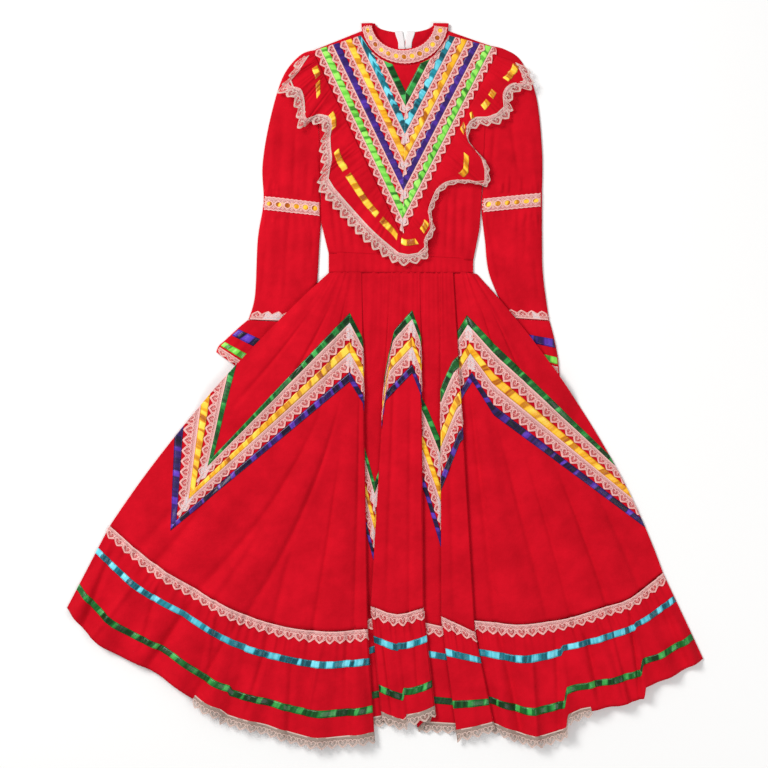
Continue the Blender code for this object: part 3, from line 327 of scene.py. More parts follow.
def leaf_place(leaf, across, down):
    """The X and Y of places on a leaf."""
    across, down = np.broadcast_arrays(np.asarray(across, float), np.asarray(down, float))
    upper, lower = np.minimum(down, 1), np.maximum(down - 1, 0)
    last = SPAN[leaf]
    i = np.clip(across.astype(int), 0, last - 1)
    t = (across - i)[..., None]
    corners = []
    for k in (i - 1, i, i + 1, i + 2):
        rib = Rib(*(column[np.clip(k, 0, last)] for column in RIBS[leaf]))
        x = mix(rib.waist_x, rib.seam_x, upper) + rib.bow * 4 * upper * (1 - upper)
        y = mix(rib.waist_y, rib.seam_y, upper)
        corners.append(np.stack((x + (rib.hem_x - rib.seam_x) * lower,
                                 y + (rib.hem_y - rib.seam_y) * lower), axis=-1))
    place = smooth(*corners, t) if last > 1 else corners[1] * (1 - t) + corners[2] * t
    place[..., 1] += tuck_shift(leaf, across, down)
    return place


def hump(x, y, extra=0.0):
    """How far the skirt is raised by the cuffs under it."""
    raised = np.zeros(np.shape(x))
    for row in HUMPS:
        run_x, run_y = row.end_x - row.start_x, row.end_y - row.start_y
        along = ((x - row.start_x) * run_x + (y - row.start_y) * run_y) / (run_x ** 2 + run_y ** 2)
        along = np.clip(along, 0, 1)
        distance = np.hypot(x - row.start_x - run_x * along, y - row.start_y - run_y * along)
        fade = ease(1 - (distance - row.plateau - 2 * extra) / (row.slope + extra))
        raised = np.maximum(raised, (row.height + extra) * fade)
    return raised


def leaf_height(leaf, across, down):
    """The height of places on a leaf: its ribs' heights, gathers, creases, pinches and waves."""
    across, down = np.broadcast_arrays(np.asarray(across, float), np.asarray(down, float))
    heights, last = RIBS[leaf].height, SPAN[leaf]
    i = np.clip(across.astype(int), 0, last - 1)
    height = mix(heights[i], heights[i + 1], ease(across - i))
    row = GATHERING.get(leaf)
    if row:
        turned = 2 * pi * np.maximum(across - row.start, 0) / (last - row.start)
        fade = (1 - ease(down / GATHERS_END)) * ease(down / GATHERS_START)
        uneven = 1 + WAVES_UNEVEN * np.sin(2.3 * turned + 0.6)
        growth = ease((down - 1) / WAVES_GROWN) * uneven
        height = (height + row.gather_height * fade * (1 - np.cos(row.gathers * turned)) / 2
                  + row.wave_height * growth * (1 - np.cos(row.waves * turned)) / 2)
    else:
        height = height + (WAIST_RISE * (1 - ease(down / GAP_GATHERS_END))
                           * np.sin(pi * across / last) ** 0.25)
    for tuck in TUCKS.get(leaf, ()):
        past, depth = past_tuck(tuck, across, down)
        height = height + TUCK_RISE * depth * bell((past - TUCK_RIDGE) / TUCK_RIDGE_WIDTH)
    for crease in map(Crease._make, CREASES.get(leaf, ())):
        past = (down - crease.down_top) / (crease.down_bottom - crease.down_top)
        along = np.clip(past, 0, 1)
        centre = mix(crease.across_top, crease.across_bottom, along)
        fade = ease(along / CREASE_GROWN) * (1 - CREASE_LOST * ease((down - 1) / CREASE_LOST_BY))
        if crease.down_top > 1:
            fade = ease((past + 0.05) / 0.3)
        if crease.down_top > 1 or crease.height < 0:
            fade = fade * (1 - ease((past - CREASE_FADE) / CREASE_FADED_BY))
        height = height + crease.height * fade * bell((across - centre) / crease.width)
    for pinch in PINCHES[leaf]:
        past = (down - pinch.start) / pinch.length
        if past.max() >= 0 and past.min() <= 1:
            fade = np.where(past < -0.001, 0, 1 - ease(past))
            height = height + pinch.height * fade * bell((across - pinch.across) / pinch.width)
    side = {"left": 0.0, "right": float(last)}.get(leaf)
    if side is not None:
        distance = np.linalg.norm(
            leaf_place(leaf, across, down) - leaf_place(leaf, side, down), axis=-1)
        near = 1 - np.minimum(distance / SIDE_ROUND, 1)
        height = mix(EDGE_LEVEL, height, np.sqrt(1 - near ** 2))
    return height


def front_row(stations, down):
    """The places of a row of the whole front at one depth, through every hidden fold."""
    places = np.zeros((len(stations), 3))
    for leaf, after in zip(LEAF_ORDER, [*LEAF_ORDER[1:], None]):
        edge, span = LEAF_END[leaf], SPAN[leaf]
        here = (stations >= LEAF_START[leaf] - 1e-6) & (stations <= edge + 1e-6)
        across = np.clip(stations[here] - LEAF_START[leaf], 0, span)
        flat = leaf_place(leaf, across, down)
        if leaf in TOP_LEAVES:
            flat[:, 0] -= OUTER_TURN * (across == span)
            flat[:, 0] += OUTER_TURN * (across == 0) * (leaf != LEAF_ORDER[0])
        places[here] = np.column_stack((flat, leaf_height(leaf, across, down)))
        if not after:
            break
        side, top, fold = 1, leaf_place(leaf, span, down), leaf_place(after, 0, down)
        if leaf not in TOP_LEAVES:
            side, top, fold = -1, fold, top
        outer, inner = side * OUTER_TURN, side * INNER_TURN
        turn = np.array([
            (top[0] - outer, top[1], TOP_LEAF), (top[0], top[1], TOP_LEAF - OUTER_TURN),
            (top[0] - outer, top[1], TOP_LEAF - 2 * OUTER_TURN),
            (fold[0] + inner, fold[1], LOW_LEAF + 2 * INNER_TURN),
            (fold[0], fold[1], LOW_LEAF + INNER_TURN), (fold[0] + inner, fold[1], LOW_LEAF),
            (fold[0] + 2 * inner, fold[1], LOW_LEAF)])[::side]
        between = (stations > edge + 1e-6) & (stations < edge + TURN - 1e-6)
        places[between] = spline(turn, (stations[between] - edge) / TURN_STEP)
    pressed = WAIST_PRESS + (1 - WAIST_PRESS) * ease(down / WAIST_PRESSED)
    above = np.maximum(places[:, 2] - LOW_LEAF, 0)
    places[:, 2] += above * (pressed - 1) + hump(places[:, 0], places[:, 1], FRONT_EXTRA)
    return places


def run_along(places):
    """The distance to each column of a strip's places, along its middle."""
    steps = np.linalg.norm(np.diff(places[:, places.shape[1] // 2], axis=0), axis=1)
    return np.concatenate(([0.0], np.cumsum(np.maximum(steps, 1e-4))))


class Surface:
    """A laid cloth or strip: a grid of places in millimetres, read between its lines.

    Its columns are numbered by at and its rows by down. lift is a distance off its outer side.
    A strip's mitres are the ends of the lines that it is folded along at its corners.
    """

    mitres = ()

    def __init__(self, at, down, places, normals=None, ring=False):
        self.at, self.down = np.asarray(at, float), np.asarray(down, float)
        self.places = places
        if normals is None:
            padded = np.concatenate((places[-2:-1], places, places[1:2])) if ring else places
            normals = unit(np.cross(np.gradient(padded, axis=1), np.gradient(padded, axis=0)))
            normals = normals[1:-1] if ring else normals
        self.normals = normals

    def read(self, at, down, lift=0.0):
        """The places at numbers between the grid's columns and rows."""
        at, down = np.broadcast_arrays(np.asarray(at, float), np.asarray(down, float))
        i = np.clip(np.searchsorted(self.at, at, "right") - 1, 0, len(self.at) - 2)
        j = np.clip(np.searchsorted(self.down, down, "right") - 1, 0, len(self.down) - 2)
        s = ((at - self.at[i]) / (self.at[i + 1] - self.at[i]))[..., None]
        t = ((down - self.down[j]) / (self.down[j + 1] - self.down[j]))[..., None]

        def between(grid):
            return ((grid[i, j] * (1 - s) + grid[i + 1, j] * s) * (1 - t)
                    + (grid[i, j + 1] * (1 - s) + grid[i + 1, j + 1] * s) * t)

        normal = unit(between(self.normals))
        return between(self.places) + normal * np.asarray(lift)[..., None], normal

    def strip(self, at, down):
        """A strip on this surface, from columns and rows of it, numbered in millimetres."""
        places, normals = self.read(at, down)
        widths = np.linalg.norm(np.diff(places, axis=1), axis=2).mean(axis=0)
        return Surface(
            run_along(places), np.concatenate(([0.0], np.cumsum(widths))), places, normals)


# Cotton poplin, piece-dyed red: matt, with a faint bloom of loose fibre at grazing angles. Its
# threads are 0.4 mm apart and are drawn 1.1 mm apart, so that the weave shows.
COTTON_THREAD = 1.1 * MM


def add_node(tree, kind, inputs=(), **settings):
    """Adds a node with its settings and its inputs, which are listed in order or by socket."""
    node = tree.nodes.new("ShaderNode" + kind)
    for name, value in settings.items():
        setattr(node, name, value)
    feed(tree, node, inputs)
    return node


def band_scale(spacing):
    """The wave texture's scale for bands this far apart."""
    return 2 * pi / (20 * spacing)


red_cotton, tree, shader = new_material(
    "red_cotton_poplin", Roughness=0.82, Sheen_Weight=0.02, Sheen_Roughness=0.5,
    Specular_IOR_Level=0.06)
place = add_node(tree, "TexCoord").outputs["Object"]
threads = add_node(tree, "Math", [
    add_node(tree, "TexWave", {"Vector": place, "Scale": band_scale(COTTON_THREAD),
                               "Distortion": 1.2, "Detail": 1.0, "Detail Scale": 0.2},
             bands_direction=direction) for direction in ("X", "Y")], operation="ADD")
dye = add_node(tree, "TexNoise", {"Vector": place, "Scale": 22.0, "Detail": 5.0,
                                  "Roughness": 0.62})
tone = add_node(tree, "MapRange", {"Value": dye, "From Min": 0.32, "From Max": 0.68})
colour = add_node(tree, "Mix", {"Factor": tone, 6: linear("#B60619"), 7: linear("#CB0A1F")},
                  data_type="RGBA")
crumple = add_node(tree, "TexNoise", {"Vector": place, "Scale": 48.0, "Detail": 4.0,
                                      "Roughness": 0.6})
crumpled = add_node(tree, "Bump", {"Strength": 0.4, "Distance": 3.6 * MM, "Height": crumple})
woven = add_node(tree, "Bump", {"Strength": 0.22, "Distance": 0.12 * MM, "Height": threads,
                                "Normal": crumpled})
feed(tree, shader, {"Base Color": colour, "Normal": woven})


def piece(name, mesh, materials, node, wall=None):
    """Links a finished mesh as a piece of the dress, with the node it stands for."""
    for material in materials:
        mesh.materials.append(material)
    mesh.shade_smooth()
    made = put_in_scene(name, mesh)
    if wall:
        solidify = made.modifiers.new("wall", "SOLIDIFY")
        solidify.thickness = wall * MM
        solidify.offset = 0.0
    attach(made, "root")
    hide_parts(node)
    return made


def add_grid(form, columns, rows):
    """Adds a flat grid of faces, and gives its corners with their shares across and down it."""
    made = bmesh.ops.create_grid(form, x_segments=columns, y_segments=rows, size=0.5)
    return [(corner, corner.co.x + 0.5, 0.5 - corner.co.y) for corner in made["verts"]]


def cloth(name, places, closed=False):
    """Red cotton laid through a grid of places, as a piece that stands for its name's node."""
    columns, rows = places.shape[:2]
    form = bmesh.new()
    for corner, across, down in add_grid(form, columns - 1, rows - 1):
        corner.co = places[round(across * (columns - 1)), round(down * (rows - 1))] * MM
    if closed:
        bmesh.ops.remove_doubles(form, verts=form.verts, dist=1e-6)
    return piece(name, mesh_of(form, name), [red_cotton], name.replace("_cloth", ""),
                 CLOTH)


FEWEST_COLUMNS = 40


def stations_of(step, turn_parts=3):
    """The place of every column along the front, closer together through its hidden turns."""
    stations = []
    for leaf in LEAF_ORDER:
        count = max(int(ceil(SPAN[leaf] / step)), FEWEST_COLUMNS)
        stations += [LEAF_START[leaf] + SPAN[leaf] * k / count for k in range(count + 1)]
        if leaf != LEAF_ORDER[-1]:
            turn_count = turn_parts * TURN_STEPS
            stations += [LEAF_END[leaf] + TURN * k / turn_count for k in range(1, turn_count)]
    return np.array(stations)


def front(stations, downs):
    """A part of the front between two depths."""
    return Surface(stations, downs, np.stack([front_row(stations, down) for down in downs], axis=1))


SKIRT_BOTTOM = 1.0 - 0.5 / 660
skirt_front = front(stations_of(0.045), np.linspace(0.0, SKIRT_BOTTOM, 70))
skirt_cloth = cloth("skirt_front_cloth", skirt_front.places)

# Satin ribbon, half an inch wide, stitched down along both edges. The satin face is glossy, and
# buckles a little between its stitches; its bright and dark stretches are painted into its colour,
# as painted highlight and painted shade.
SATIN_WEFT = 0.7 * MM
STITCH = 2.6 * MM
RIBBON, RIBBON_THICK, RIBBON_LIFT = 12.6, 0.3, 0.9


def satin(name, painted_highlight, plain, deep):
    """Satin-woven ribbon. Its tone attribute is painted highlight and shade along it."""
    material, tree, shader = new_material(
        name, Roughness=0.3, Anisotropic=0.6, Specular_IOR_Level=0.35)
    flat = add_node(tree, "UVMap", uv_map="flat")
    ramp = add_node(tree, "ValToRGB", [add_node(tree, "Attribute", attribute_name="tone")])
    # The ramp runs from the painted shade (deep) through the plain colour to the painted highlight
    first, last = ramp.color_ramp.elements
    first.position, first.color = 0.08, linear(deep)
    last.position, last.color = 0.94, linear(painted_highlight)
    ramp.color_ramp.elements.new(0.5).color = linear(plain)
    along, across, _ = add_node(tree, "SeparateXYZ", [flat]).outputs
    weft = add_node(tree, "TexWave", {"Vector": flat, "Scale": band_scale(SATIN_WEFT),
                                      "Distortion": 0.6}, bands_direction="X")
    # Both edges are mixed part way to the painted shade colour, so the ribbon darkens towards them
    from_middle = add_node(tree, "Math", [across, 0.5], operation="SUBTRACT")
    to_side = add_node(tree, "Math", [from_middle], operation="ABSOLUTE")
    toward_edges = add_node(tree, "MapRange", {"Value": to_side, "From Min": 0.44, "From Max": 0.5,
                                           "To Min": 0.0, "To Max": 0.55})
    edged = add_node(tree, "Mix", {"Factor": toward_edges, 6: ramp, 7: linear(deep)},
                     data_type="RGBA")
    in_row = add_node(tree, "Math", [to_side, 0.39, 0.022], operation="COMPARE")
    stitched = add_node(tree, "Math", [along, STITCH], operation="PINGPONG")
    in_stitch = add_node(tree, "Math", [stitched, 0.3 * STITCH], operation="GREATER_THAN")
    thread = add_node(tree, "Math", [in_row, in_stitch], operation="MULTIPLY")
    sewn = add_node(tree, "Mix", {"Factor": thread, 6: edged, 7: linear(plain)},
                    data_type="RGBA")
    height = add_node(tree, "Math", [thread, weft], operation="ADD")
    bump = add_node(tree, "Bump", {"Strength": 0.25, "Distance": 0.1 * MM, "Height": height})
    feed(tree, shader, {"Base Color": sewn, "Normal": bump})
    return material


# Each satin's painted highlight, its plain colour, and its painted shade (deep)
SATINS = {name: satin(name, painted_highlight, plain, deep) for name, painted_highlight, plain, deep in (
    ("green_satin", "#45B052", "#15762C", "#042E0A"),
    ("gold_satin", "#FFD94A", "#F0A914", "#A64E06"),
    ("purple_satin", "#6238B8", "#3C1C76", "#140824"),
    ("turquoise_satin", "#7ADCEC", "#239DB0", "#064450"),
    ("lime_satin", "#A4EA66", "#6CCB40", "#2A6E1A"))}

# How a ribbon's light and shade are painted along it: the lengths in millimetres of its lit and
# its shaded stretches, their painted tones, how high it buckles and how far its stretches slant
Shine = namedtuple("Shine", "lit shaded lit_tone shaded_tone buckle slant")
BLOCKS = Shine((6, 26), (8, 34), (0.66, 1.0), (0.0, 0.32), 0.6, 0.3)
GLINTS = Shine((4, 14), (14, 40), (0.55, 0.9), (0.0, 0.36), 0.6, 0.5)
PAINTED_FOLD_SHADE = Shine((6, 24), (4, 18), (0.55, 0.95), (0.14, 0.5), 0.6, 0.9)
SPARKS = Shine((5, 14), (3, 9), (0.6, 1.0), (0.12, 0.45), 0.6, 0.7)
EVEN = Shine((6, 18), (8, 26), (0.5, 0.68), (0.3, 0.5), 0.4, 0.3)
# Fine streaks of painted sheen along a ribbon: a tone change up to STRIPE_TONE every STRIPE mm
STRIPE, STRIPE_TONE = 2.6, 0.16
RIBBON_STEP, TURN_LENGTH, DIP_LENGTH = 1.8, 1.6, 5.0


def points_of(mesh):
    """The places of a mesh's vertices."""
    points = np.empty(3 * len(mesh.vertices))
    mesh.vertices.foreach_get("co", points)
    return points.reshape(-1, 3)


def ribbon_mesh(name, strip, shine, lift=RIBBON_LIFT, dip=0.0):
    """A flat ribbon with buckles and painted light and shade on a strip; dip lowers its ends."""
    length, width = strip.at[-1], strip.down[-1]
    count = int(length / (shine.lit[0] + shine.shaded[0])) + 2
    lit, shaded = chance.uniform(*shine.lit, count), chance.uniform(*shine.shaded, count)
    marks = np.cumsum(np.column_stack((lit, shaded)).ravel()) - chance.uniform(0, shine.lit[1])
    painted_tones = np.column_stack((chance.uniform(*shine.lit_tone, count),
                             chance.uniform(*shine.shaded_tone, count))).ravel()
    slants = shine.slant * chance.uniform(0.2, 1.0, len(marks))
    sheen_streaks = chance.uniform(-STRIPE_TONE, STRIPE_TONE, int(length / STRIPE) + 3)
    form = bmesh.new()
    add_grid(form, max(int(length / RIBBON_STEP), 4), 4)
    flat_map = form.loops.layers.uv.new("flat")
    for face in form.faces:
        for loop in face.loops:
            loop[flat_map].uv = ((loop.vert.co.x + 0.5) * length * MM, 0.5 - loop.vert.co.y)
    mesh = mesh_of(form, name)
    flat = points_of(mesh)
    x, y = (flat[:, 0] + 0.5) * length, (0.5 - flat[:, 1]) * width
    near = np.clip(np.searchsorted(marks, x), 0, len(marks) - 1)
    slanted = x + (y - width / 2) * slants[near]
    k = np.clip(np.searchsorted(marks, slanted), 1, len(marks) - 1)
    past = slanted - marks[k - 1]
    share = np.clip(past / (marks[k] - marks[k - 1]), 0, 1)
    turned = ease(past / TURN_LENGTH)
    # Each vertex's painted tone: its stretch's painted highlight or shade, eased at each change and
    # streaked with painted sheen
    tone = painted_tones[k - 1] * (1 - turned) + painted_tones[k] * turned
    tone += np.interp(slanted / STRIPE, np.arange(len(sheen_streaks)), sheen_streaks)
    held_down = np.sin(pi * np.clip(y / width, 0, 1)) ** 0.5
    rise = shine.buckle * np.sin(pi * share) * held_down * (0.3 + painted_tones[k])
    rise -= dip * (1 - ease(np.minimum(x, length - x) / DIP_LENGTH))
    places, _ = strip.read(x, y, lift + rise)
    mesh.vertices.foreach_set("co", (places * MM).ravel())
    mesh.attributes.new("tone", "FLOAT", "POINT").data.foreach_set("value", tone)
    return mesh


def ribbon(name, node, strip, colour, shine=BLOCKS, lift=RIBBON_LIFT):
    """A ribbon laid on a strip, as a finished piece of one of the satins."""
    return piece(name, ribbon_mesh(name, strip, shine, lift), [SATINS[colour]], node,
                 RIBBON_THICK)


# The skirt's zigzag: ribbon, lace, ribbon, lace and ribbon sewn in one wide band that runs down
# and up across the leaves. Each corner below lies on the leaf that shows it.
Corner = namedtuple("Corner", "turning top_x top_y bottom_x bottom_y")
ZIGZAG = {
    "left": (
        (False, -281, 30, -381, -91), (True, -322, -141, -390, -259), (True, -65, 124, -65, 15),
        (False, -41, 78, -39, -28),
    ),
    "left_gap": (
        (True, -19, -190, -19, -322),
    ),
    "middle": (
        (False, 16, 92, 2, -20), (True, 50, 130, 50, 30), (False, 67, 83, 66, -10),
    ),
    "right_gap": (
        (False, 76, -50, 74, -190), (True, 103, -115, 103, -285),
    ),
    "narrow": (
        (False, 107, -7, 107, -172), (False, 126, 35, 137, -96),
    ),
    "right": (
        (True, 152, 120, 161, 15), (False, 200, 67, 200, -46), (False, 413, -133, 475, -253),
    ),
}
ZIGZAG_TAPE, GOLD_HALF = 76.0, 7.0
SEARCH_STEPS, HALVINGS = 40, 24
LinePlace = namedtuple("LinePlace", "leaf at down xy")


def find_on_leaf(leaf, x, y):
    """The place on a leaf, across and down, that lies at X and Y."""
    across, down, small = SPAN[leaf] / 2, 0.5, 1e-4
    for _ in range(SEARCH_STEPS):
        here = leaf_place(leaf, across, down)
        by_across = (leaf_place(leaf, across + small, down) - here) / small
        by_down = (leaf_place(leaf, across, down + small) - here) / small
        step = np.linalg.solve(np.column_stack((by_across, by_down)), np.array((x, y)) - here)
        across = min(max(across + step[0], 0), SPAN[leaf] - small)
        down = min(max(down + step[1], 0.02), 0.99)
    return across, down


def held(at):
    """Places inside a fold's turns, read as the nearest places outside them."""
    at = at.copy()
    for leaf in LEAF_ORDER[:-1]:
        edge, end = LEAF_END[leaf], LEAF_END[leaf] + TURN
        inside = (at > edge + TURN_STEP / 2) & (at < end - TURN_STEP / 2)
        near, far, change = edge, edge + 3 * TURN_STEP, edge + 2.5 * TURN_STEP
        if leaf not in TOP_LEAVES:
            near, far, change = edge + 3 * TURN_STEP, end, edge + 3.5 * TURN_STEP
        at[inside] = np.where(at[inside] < change, near, far)
    return at


class ZigzagLine:
    """A line along the zigzag: share 0 is its top ribbon's middle and 1 its bottom ribbon's."""

    def __init__(self, share):
        self.places, self.knots = [], [*LEAF_START.values(), *LEAF_END.values()]
        for leaf, rows in ZIGZAG.items():
            for row in map(Corner._make, rows):
                x = mix(row.top_x, row.bottom_x, share)
                y = mix(row.top_y, row.bottom_y, share)
                across, down = find_on_leaf(leaf, x, y)
                self.places.append(
                    LinePlace(leaf, LEAF_START[leaf] + across, down, np.array((x, y))))
                if row.turning:
                    self.knots.append(LEAF_START[leaf] + across)
        self.knots.sort()

    def down(self, at):
        """How far down the cloth the line lies, at places along the front."""
        at = held(np.asarray(at, float))
        found = np.zeros(at.shape)
        pairs = list(zip(self.places, self.places[1:]))
        for here, there in pairs:
            low = -np.inf if here is self.places[0] else here.at
            high = np.inf if there is self.places[-1] else there.at
            inside = (at >= low) & (at < high)
            if here.leaf != there.leaf:
                share = np.clip((at[inside] - here.at) / (there.at - here.at), 0, 1)
                found[inside] = mix(here.down, there.down, share)
                continue
            across = np.clip(at[inside] - LEAF_START[here.leaf], 0, SPAN[here.leaf])
            run = there.xy - here.xy
            upper, lower = np.zeros(across.shape), np.ones(across.shape)
            for _ in range(HALVINGS):
                middle = (upper + lower) / 2
                away = leaf_place(here.leaf, across, middle) - here.xy
                above = run[0] * away[..., 1] - run[1] * away[..., 0] > 0
                upper, lower = np.where(above, middle, upper), np.where(above, lower, middle)
            found[inside] = (upper + lower) / 2
        return found


CLOSED_UP = 0.02


def smooth_normals(places):
    """Normals of a strip's grid, kept from the columns beside it where a mitre closes it up."""
    normals = np.cross(np.gradient(places, axis=1), np.gradient(places, axis=0))
    good = np.linalg.norm(normals, axis=-1) > CLOSED_UP
    normals = unit(normals)
    for j in range(places.shape[1]):
        known = np.flatnonzero(good[:, j])
        nearest = known[np.clip(np.searchsorted(known, np.arange(len(places))), 0, len(known) - 1)]
        normals[:, j] = normals[nearest, j]
    return normals


SQUARE_STEP, SHORTEST, FEWEST_SQUARE, SQUARE_ROUNDS = 1.6, 4, 6, 8


def squared(strip, corners, hidden=()):
    """A mitred strip with its columns turned square to it between its corners.

    The stretches whose numbers are in hidden, inside folds, are left as they are.
    """
    stretches, ats, mitres, widths, start_at = [], [], [], [], 0.0
    rows = strip.places.shape[1]
    shares = strip.down / strip.down[-1] - 0.5
    for number, (start, end) in enumerate(zip(corners, corners[1:])):
        inside = (strip.at > start - 0.01) & (strip.at < end + 0.01)
        at, places = strip.at[inside], strip.places[inside]
        if number in hidden or len(at) < SHORTEST:
            stretches.append(places)
            ats.append(at - start + start_at)
        else:
            along = unit(np.gradient(places[:, rows // 2], axis=0))
            skew = ((places[:, -1] - places[:, 0]) * along).sum(axis=1)
            before, after = abs(skew[0]) / 2, abs(skew[-1]) / 2
            run = np.linspace(start - before, end + after,
                              max(int((end - start) / SQUARE_STEP), FEWEST_SQUARE))
            square = np.zeros((len(run), rows, 3))
            for j, share in enumerate(shares):
                place = run.copy()
                for _ in range(SQUARE_ROUNDS):
                    place = run - np.interp(place, at, skew) * share
                square[:, j] = strip.read(np.clip(place, start, end), strip.down[j])[0]
            stretches.append(square)
            ats.append(run - run[0] + start_at)
            if number + 1 not in hidden and end < corners[-1]:
                mitres.append(places[-1, [0, -1]])
        if number not in hidden:
            middle = stretches[-1][len(stretches[-1]) // 2]
            widths.append(np.linalg.norm(middle[-1] - middle[0]))
        start_at = ats[-1][-1]
    places, at = np.concatenate(stretches), np.concatenate(ats)
    keep = np.concatenate(([True], np.diff(at) > 1e-4))
    down = np.linspace(0, np.mean(widths), rows)
    made = Surface(at[keep], down, places[keep], smooth_normals(places[keep]))
    made.mitres = mitres
    return made


middle_line = ZigzagLine(0.5)


def zigzag_strip(top_share, bottom_share, rows=5):
    """The strip of the skirt's cloth between two of the zigzag's lines."""
    lines = [ZigzagLine(share) for share in np.linspace(top_share, bottom_share, rows)]
    ends = middle_line.knots
    stations = np.unique(np.concatenate((stations_of(0.05, 2), ends)))
    stations = stations[np.concatenate(([True], np.diff(stations) > 1e-6))]
    at = np.column_stack([np.interp(stations, ends, line.knots) for line in lines])
    down = np.column_stack([line.down(at[:, k]) for k, line in enumerate(lines)])
    strip = skirt_front.strip(at, down)
    corners = [float(strip.at[np.argmin(abs(stations - end))]) for end in ends]
    hidden = [k for k, end in enumerate(ends)
              if min(abs(end - edge) for edge in LEAF_END.values()) < 1e-6]
    return squared(strip, corners, hidden)


half_ribbon = RIBBON / 2 / ZIGZAG_TAPE
half_gold = GOLD_HALF / ZIGZAG_TAPE
zigzag_trims = [
    ribbon("zigzag_green_satin", "zigzag_green_ribbon",
           zigzag_strip(-half_ribbon, half_ribbon), "green_satin", GLINTS),
    ribbon("zigzag_gold_satin", "zigzag_yellow_ribbon",
           zigzag_strip(0.5 - half_gold, 0.5 + half_gold), "gold_satin", PAINTED_FOLD_SHADE),
    ribbon("zigzag_purple_satin", "zigzag_purple_ribbon",
           zigzag_strip(1 - half_ribbon, 1 + half_ribbon), "purple_satin", GLINTS),
]

# Cotton heart lace, 22 mm wide, that repeats every 20 mm: a fine net ground, a straight woven
# edge, and a cord that draws a row of hearts whose points make the other edge.
LACE_PITCH, LACE_WIDTH, LACE_BAND = 20.0, 22.0, 5.0
HEART_MIDDLE, HEART_WIDE, HEART_TALL = 12.3, 8.1, 0.45
HEART_INSIDE, HEART_OUTSIDE = 5.4, 6.0
NET_HOLE = 1.7 * MM
CORD_HEIGHT, CORD_EDGE, FLAT_CORD, RING_HEIGHT = 0.45, 0.12, 0.35, 0.3
EDGE_CORD, HEART_CORD, RING_CORD, BAND_CORD, RING_RADIUS = 1.2, 1.5, 0.9, 2.2, 1.5
SCALLOP_DEEP, SCALLOP_MARGIN, LOW_RING_Y = 7.4, 0.6, 8.4
SLIVER = 2e-9
CORD, DOUBLED, DOUBLED_HALF = 1, 2, 6.0


def lace_net(name, colour, cover, heart_cover, band_cover):
    """The lace's net: threads and holes, which let through what lies under it.

    The covers are the shares of it that threads cover, inside its hearts and in its band too.
    """
    material, tree, shader = new_material(name, Base_Color=linear(colour), Roughness=0.85)
    flat = add_node(tree, "UVMap", uv_map="flat")
    along, across, _ = add_node(tree, "SeparateXYZ", [flat]).outputs
    turned = add_node(tree, "Mapping", {"Vector": flat, "Rotation": (0, 0, pi / 4)})
    threads = add_node(tree, "Math", [
        add_node(tree, "TexWave", {"Vector": turned, "Scale": band_scale(NET_HOLE)},
                 bands_direction=direction) for direction in ("X", "Y")], operation="MAXIMUM")
    half_pitch = LACE_PITCH / 2 * MM
    past = add_node(tree, "Math", [along, half_pitch], operation="PINGPONG")
    off_x = add_node(tree, "Math", [past, half_pitch], operation="SUBTRACT")
    off_y = add_node(tree, "Math", [across, HEART_MIDDLE * MM], operation="SUBTRACT")
    off = add_node(tree, "CombineXYZ", [off_x, off_y])
    away = add_node(tree, "VectorMath", [off], operation="LENGTH")
    in_heart, plain, in_band = (
        sin(pi / 2 * sqrt(1 - share)) ** 2 for share in (heart_cover, cover, band_cover))
    limit = add_node(tree, "MapRange", {
        "Value": away, "From Min": HEART_INSIDE * MM, "From Max": HEART_OUTSIDE * MM,
        "To Min": in_heart, "To Max": plain})
    band = add_node(tree, "Math", [across, LACE_BAND * MM], operation="LESS_THAN")
    limited = add_node(tree, "Mix", {"Factor": band, 2: limit, 3: in_band})
    feed(tree, shader, {"Alpha": add_node(tree, "Math", [threads, limited],
                                          operation="GREATER_THAN")})
    return material


def cord_cotton(name, dark, light):
    """The lace's thick cord: soft twisted cotton."""
    material, tree, shader = new_material(name, Roughness=0.8, Sheen_Weight=0.2)
    place = add_node(tree, "TexCoord").outputs["Object"]
    grain = add_node(tree, "TexNoise", {"Vector": place, "Scale": 900.0, "Detail": 2.0})
    colour = add_node(tree, "Mix", {"Factor": grain, 6: linear(dark), 7: linear(light)},
                      data_type="RGBA")
    bump = add_node(tree, "Bump", {"Strength": 0.4, "Distance": 0.2 * MM, "Height": grain})
    feed(tree, shader, {"Base Color": colour, "Normal": bump})
    return material


cotton_net = lace_net("cotton_lace_net", "#EDBFB9", 0.42, 0.2, 0.6)
doubled_net = lace_net("doubled_cotton_net", "#DACACA", 0.88, 0.88, 0.88)
# A darker grey-beige net and cord, painted shade: the hem lace takes both, the bertha lace its cord
shade_painted_net = lace_net("shade_painted_lace_net", "#9C897D", 0.8, 0.62, 0.9)
cotton_cord = cord_cotton("cotton_lace_cord", "#DFA09A", "#F4BFB8")
shade_painted_cord = cord_cotton("shade_painted_lace_cord", "#BDA196", "#DCC0B4")


def add_cord(form, path, width, height=CORD_HEIGHT):
    """A raised flat cord along a path of X and Y, in the form's own millimetres."""
    path = np.asarray(path, float)
    run = np.gradient(path, axis=0)
    if np.allclose(path[0], path[-1]):
        run[0] = run[-1] = path[1] - path[-2]
    side = np.column_stack((-run[:, 1], run[:, 0]))
    side /= np.linalg.norm(side, axis=1, keepdims=True)
    corners = add_grid(form, len(path) - 1, 2)
    for corner, along, across in corners:
        i, j = round(along * (len(path) - 1)), 1 - round(across * 2)
        x, y = path[i] + side[i] * width / 2 * j
        corner.co = (x, y, CORD_EDGE if j else height)
    for face in {face for corner, _, _ in corners for face in corner.link_faces}:
        face.material_index = CORD


